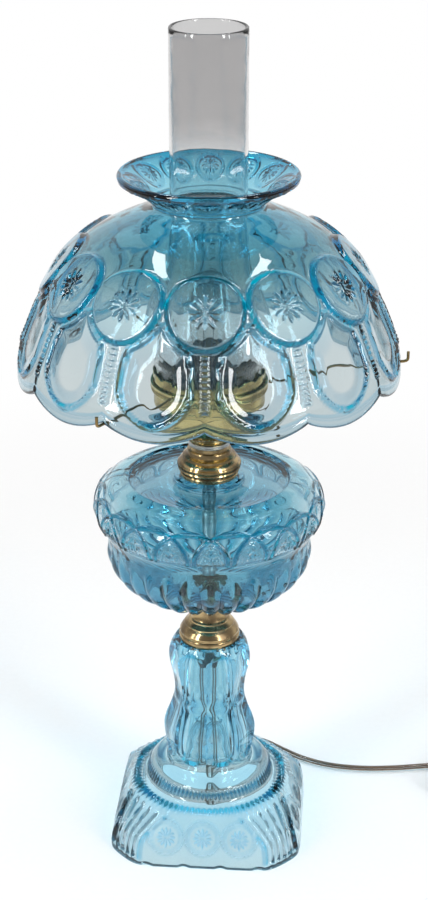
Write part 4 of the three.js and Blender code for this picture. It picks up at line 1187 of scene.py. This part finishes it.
gallery = [
    (30.4, 334.2), (37.2, 334.2), (37.4, 334.5), (37.4, 337), (37.1, 337.4), (37.4, 337.8), (37.4, 342.8),
    (38, 343.8), (39.1, 344.6), (39.4, 345.4), (39.1, 346.2), (38.2, 346.5), (37.5, 346.6),
]
gallery += [(37.4, height) for height in (351.4, 353, 354.5, 356, 357.4, 358.5)]
gallery += [(37.2, 358.8), (36.8, 358.8)]
gallery += [(36.6, height) for height in (358.5, 356, 353, 351.4, 345, 335.2)]
gallery += [(30.4, 335.2), (30.4, 334.2)]


def gallery_place(azimuth, row):
    radius, height = row[RADIUS], row[HEIGHT]
    if radius <= 36:
        return radius, height
    wave = 0.5 + 0.5 * cos(FLUTES * azimuth)
    dip = -2.2 * (1 - wave) ** 2 * ease(height, 354, 358.8)
    return radius + 0.5 * wave * ease(height, 351, 353), height + dip


gallery_bm = rolled(256, plain_rows(gallery), gallery_place)
finished(gallery_bm, "spun_gallery", bright_brass, "lamp", ["burner_gallery"], SHADE_TURN, 30)
band = [
    (38.2, 346.8), (39.7, 346.8), (39.8, 347), (39.5, 347.6), (39.5, 350), (39.8, 350.6), (39.7, 350.8),
    (38.2, 350.8),
]
lathed("holder_band", band, "holder_ring", bright_brass)
deck = [(16.5, 335.5), (33.6, 335.5), (33.8, 335.7), (33.8, 336.3), (33.6, 336.5), (17, 336.5), (16.5, 336.1)]
lathed("pressed_deck", deck, "burner_deck", bright_brass, steps=96)


# %% Arms
def softened(corners, bend=1.6, steps=4):
    """Each corner becomes a short curve, as a bent wire has."""
    out = [corners[0]]
    for before, at, after in zip(corners, corners[1:], corners[2:]):
        start = at + (before - at).normalized() * min(bend, (before - at).length / 2.2)
        end = at + (after - at).normalized() * min(bend, (after - at).length / 2.2)
        out += [bent(start, at, end, i / steps) for i in range(steps + 1)]
    return [*out, corners[-1]]


ARM_START, ARM_REACH = 40.1, 92.9
FIRST_ARM = -30
arm_corners = [
    (0, 348.8), (0.05, 348.8), (0.075, 352.4), (0.36, 352.4), (0.435, 359.8), (0.945, 364), (0.97, 364),
    (1, 365), (1, 371),
]
for number in (1, 2, 3):
    azimuth = radians(FIRST_ARM + (number - 1) * 120 + SHADE_TURN)
    away = Vector((sin(azimuth), -cos(azimuth)))
    corners = [(*away * (ARM_START + share * ARM_REACH), height) for share, height in arm_corners]
    route = softened([Vector(corner) for corner in corners])
    wire(f"wire_arm_{number}", route, 1.0, dark_brass, [f"holder_arm_{number}"])

# %% [markdown]
# ## Rod, nuts and washers
#
# A hollow threaded rod clamps the foot, the stem and the font together, and the glass shows it. Its thread
# is a wave that climbs once round per turn: the same grid makes it, with rows closer than the thread's
# pitch. Hex nuts are rings whose outside follows six flats, with the corners taken down at both ends.

# %% Rod
PITCH = 1.6
rod_rows = plain_rows([(4.75, 134.9 + 0.4 * i) for i in range(452)], weight=1)
rod_rows += plain_rows([(4.2, 315.5), (3.2, 315.5), (3.2, 134.9), (4.2, 134.9)])
rod_rows.append(rod_rows[0].copy())


def rod_place(azimuth, row):
    phase = (row[HEIGHT] / PITCH + azimuth / tau) % 1
    cut = 0.5 * (1 - abs(2 * phase - 1)) if row[WEIGHT] else 0
    return row[RADIUS] - cut, row[HEIGHT]


finished(rolled(20, rod_rows, rod_place), "threaded_pipe", zinc, "lamp", ["threaded_rod"], crease=60)


# %% Nuts and washers
ROD_HOLE = 5.2
NUT_FLATS, NUT_HIGH = 7.5, 4.6
WASHER_HIGH = 1.4
SIXTH = pi / 3


def hex_nut(low):
    high, mouth = low + NUT_HIGH, ROD_HOLE + 0.3
    section = [(mouth, low), (7.3, low), (8.7, low + 0.7), (8.7, high - 0.7), (7.3, high), (mouth, high)]
    section += [(ROD_HOLE, high - 0.3), (ROD_HOLE, low + 0.3), (mouth, low)]

    def place(azimuth, row):
        off = (azimuth + SIXTH / 2) % SIXTH - SIXTH / 2
        return min(row[RADIUS], NUT_FLATS / cos(off)), row[HEIGHT]

    return rolled(48, plain_rows(section), place)


for name, low, turn in (("stem_nut", 139.8, 10), ("font_nut", 195.5, 25), ("burner_nut", 308.2, 40)):
    finished(hex_nut(low), f"hex_{name}", brass, "lamp", [name], turn, 25)
for name, low, size in (("stem_washer", 144.7, 10.5), ("font_washer", 193.8, 13)):
    high = low + WASHER_HIGH
    washer = [(ROD_HOLE, low), (size - 0.3, low), (size, low + 0.3), (size, low + 1.1), (size - 0.3, high)]
    washer.append((ROD_HOLE, high))
    lathed(f"turned_{name}", washer, name, steps=64, turn=0)


# %% [markdown]
# ## Key
#
# The key turned the wick once and is the switch now: a shaft out of the burner with a toothed thumb wheel.
# It is spun about the upright axis and then laid over onto the shaft's line.


# %% Key
KEY_HEIGHT = 324.2
WHEEL_AT = 43.6
TEETH = 24


def laid_over(bm, name, distance, node):
    """Turns a piece's axis from upright to the key's, and moves it out and up."""
    bmesh.ops.rotate(bm, cent=(0, 0, 0), matrix=Matrix.Rotation(pi / 2, 3, "Y"), verts=bm.verts)
    bmesh.ops.translate(bm, vec=(distance, 0, KEY_HEIGHT), verts=bm.verts)
    finished(bm, name, dark_brass, "key", [node], SHADE_TURN, 28)


wheel = [
    (1.8, -1.1), (2.6, -1.3), (3.4, -1.1), (4.6, -0.7), (5.6, -1.0), (6.1, -1.1), (6.5, -0.7), (6.5, 0.7),
    (6.1, 1.1), (5.6, 1.0), (4.6, 0.7), (3.4, 1.1), (2.6, 1.3), (1.8, 1.1), (1.8, -1.1),
]


def wheel_place(azimuth, row):
    tooth = 0.45 * (0.5 - 0.5 * cos(TEETH * azimuth)) * ease(row[RADIUS], 5.4, 6.3)
    return row[RADIUS] - tooth, row[HEIGHT]


wheel_bm = rolled(144, plain_rows(wheel), wheel_place)
laid_over(wheel_bm, "toothed_wheel", WHEEL_AT, "key_wheel")
shaft = [(0.01, 7.7), (1.5, 7.7), (1.5, 44.3), (1.2, 45), (0.01, 45)]
laid_over(turned(shaft, 24), "turned_shaft", 0, "key_shaft")

# %% [markdown]
# ## Socket
#
# The socket stands inside the burner: a brass shell, a paper board liner and a screw shell. Their rims show
# through the chimney, so they are spun smooth, and the bulb's cap gets its thread.

# %% Socket and cap
shell = [
    (16.2, 313.1), (16.2, 351.4), (15.9, 352.1), (15.5, 351.6), (15.5, 314.1), (5.15, 314.1), (5.15, 313.1),
]
lathed("spun_socket_shell", shell, "socket_shell", steps=96)
liner = [(14.4, 329.8), (15.2, 329.8), (15.2, 352.0), (14.4, 352.0)]
lathed("board_liner", liner, "socket_liner", paperboard, 96)

THREAD_PITCH = 3.6
cap = [(0.01, 332.4), (11.2, 332.4), (12.6, 333.9)] + [(12.6, 334.5 + 0.45 * i) for i in range(28)]
cap += [(12.7, 348), (12.8, 349.9), (12.5, 349.9), (12.5, 334.6), (11.4, 333.4), (0.01, 333.4), (0.01, 332.4)]


def cap_place(azimuth, row):
    radius, height = row[RADIUS], row[HEIGHT]
    on_thread = 12.55 < radius < 12.65 and 334.4 < height < 347.2
    wave = sin(tau * (height / THREAD_PITCH - azimuth / tau))
    return radius + (0.15 * wave if on_thread else 0), height


cap_bm = rolled(96, plain_rows(cap), cap_place)
bmesh.ops.remove_doubles(cap_bm, verts=cap_bm.verts, dist=0.02)
bmesh.ops.dissolve_degenerate(cap_bm, edges=cap_bm.edges, dist=0.01)
finished(cap_bm, "threaded_cap", brass, "bulb", ["bulb_cap"], SHADE_TURN, 40)

# %% [markdown]
# ## What stays as it was packed
#
# Small solids whose plain shape is right keep it and only get a finish.

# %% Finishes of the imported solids
kept = {
    phenolic: ["rod_bushing", "switch_block", "cord_tie"],
    plug_plastic: ["plug_body"],
    zinc: ["socket_screw_shell", "bulb_contact"],
    bright_brass: ["socket_contact", "plug_blade_left", "plug_blade_right"],
    bulb_glass: ["bulb_mount"],
    wolfram: ["bulb_filament"],
}
for material, names in kept.items():
    for name in names:
        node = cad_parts[name]
        node.data.materials.clear()
        node.data.materials.append(material)
print("kept solids:", sum(len(names) for names in kept.values()))
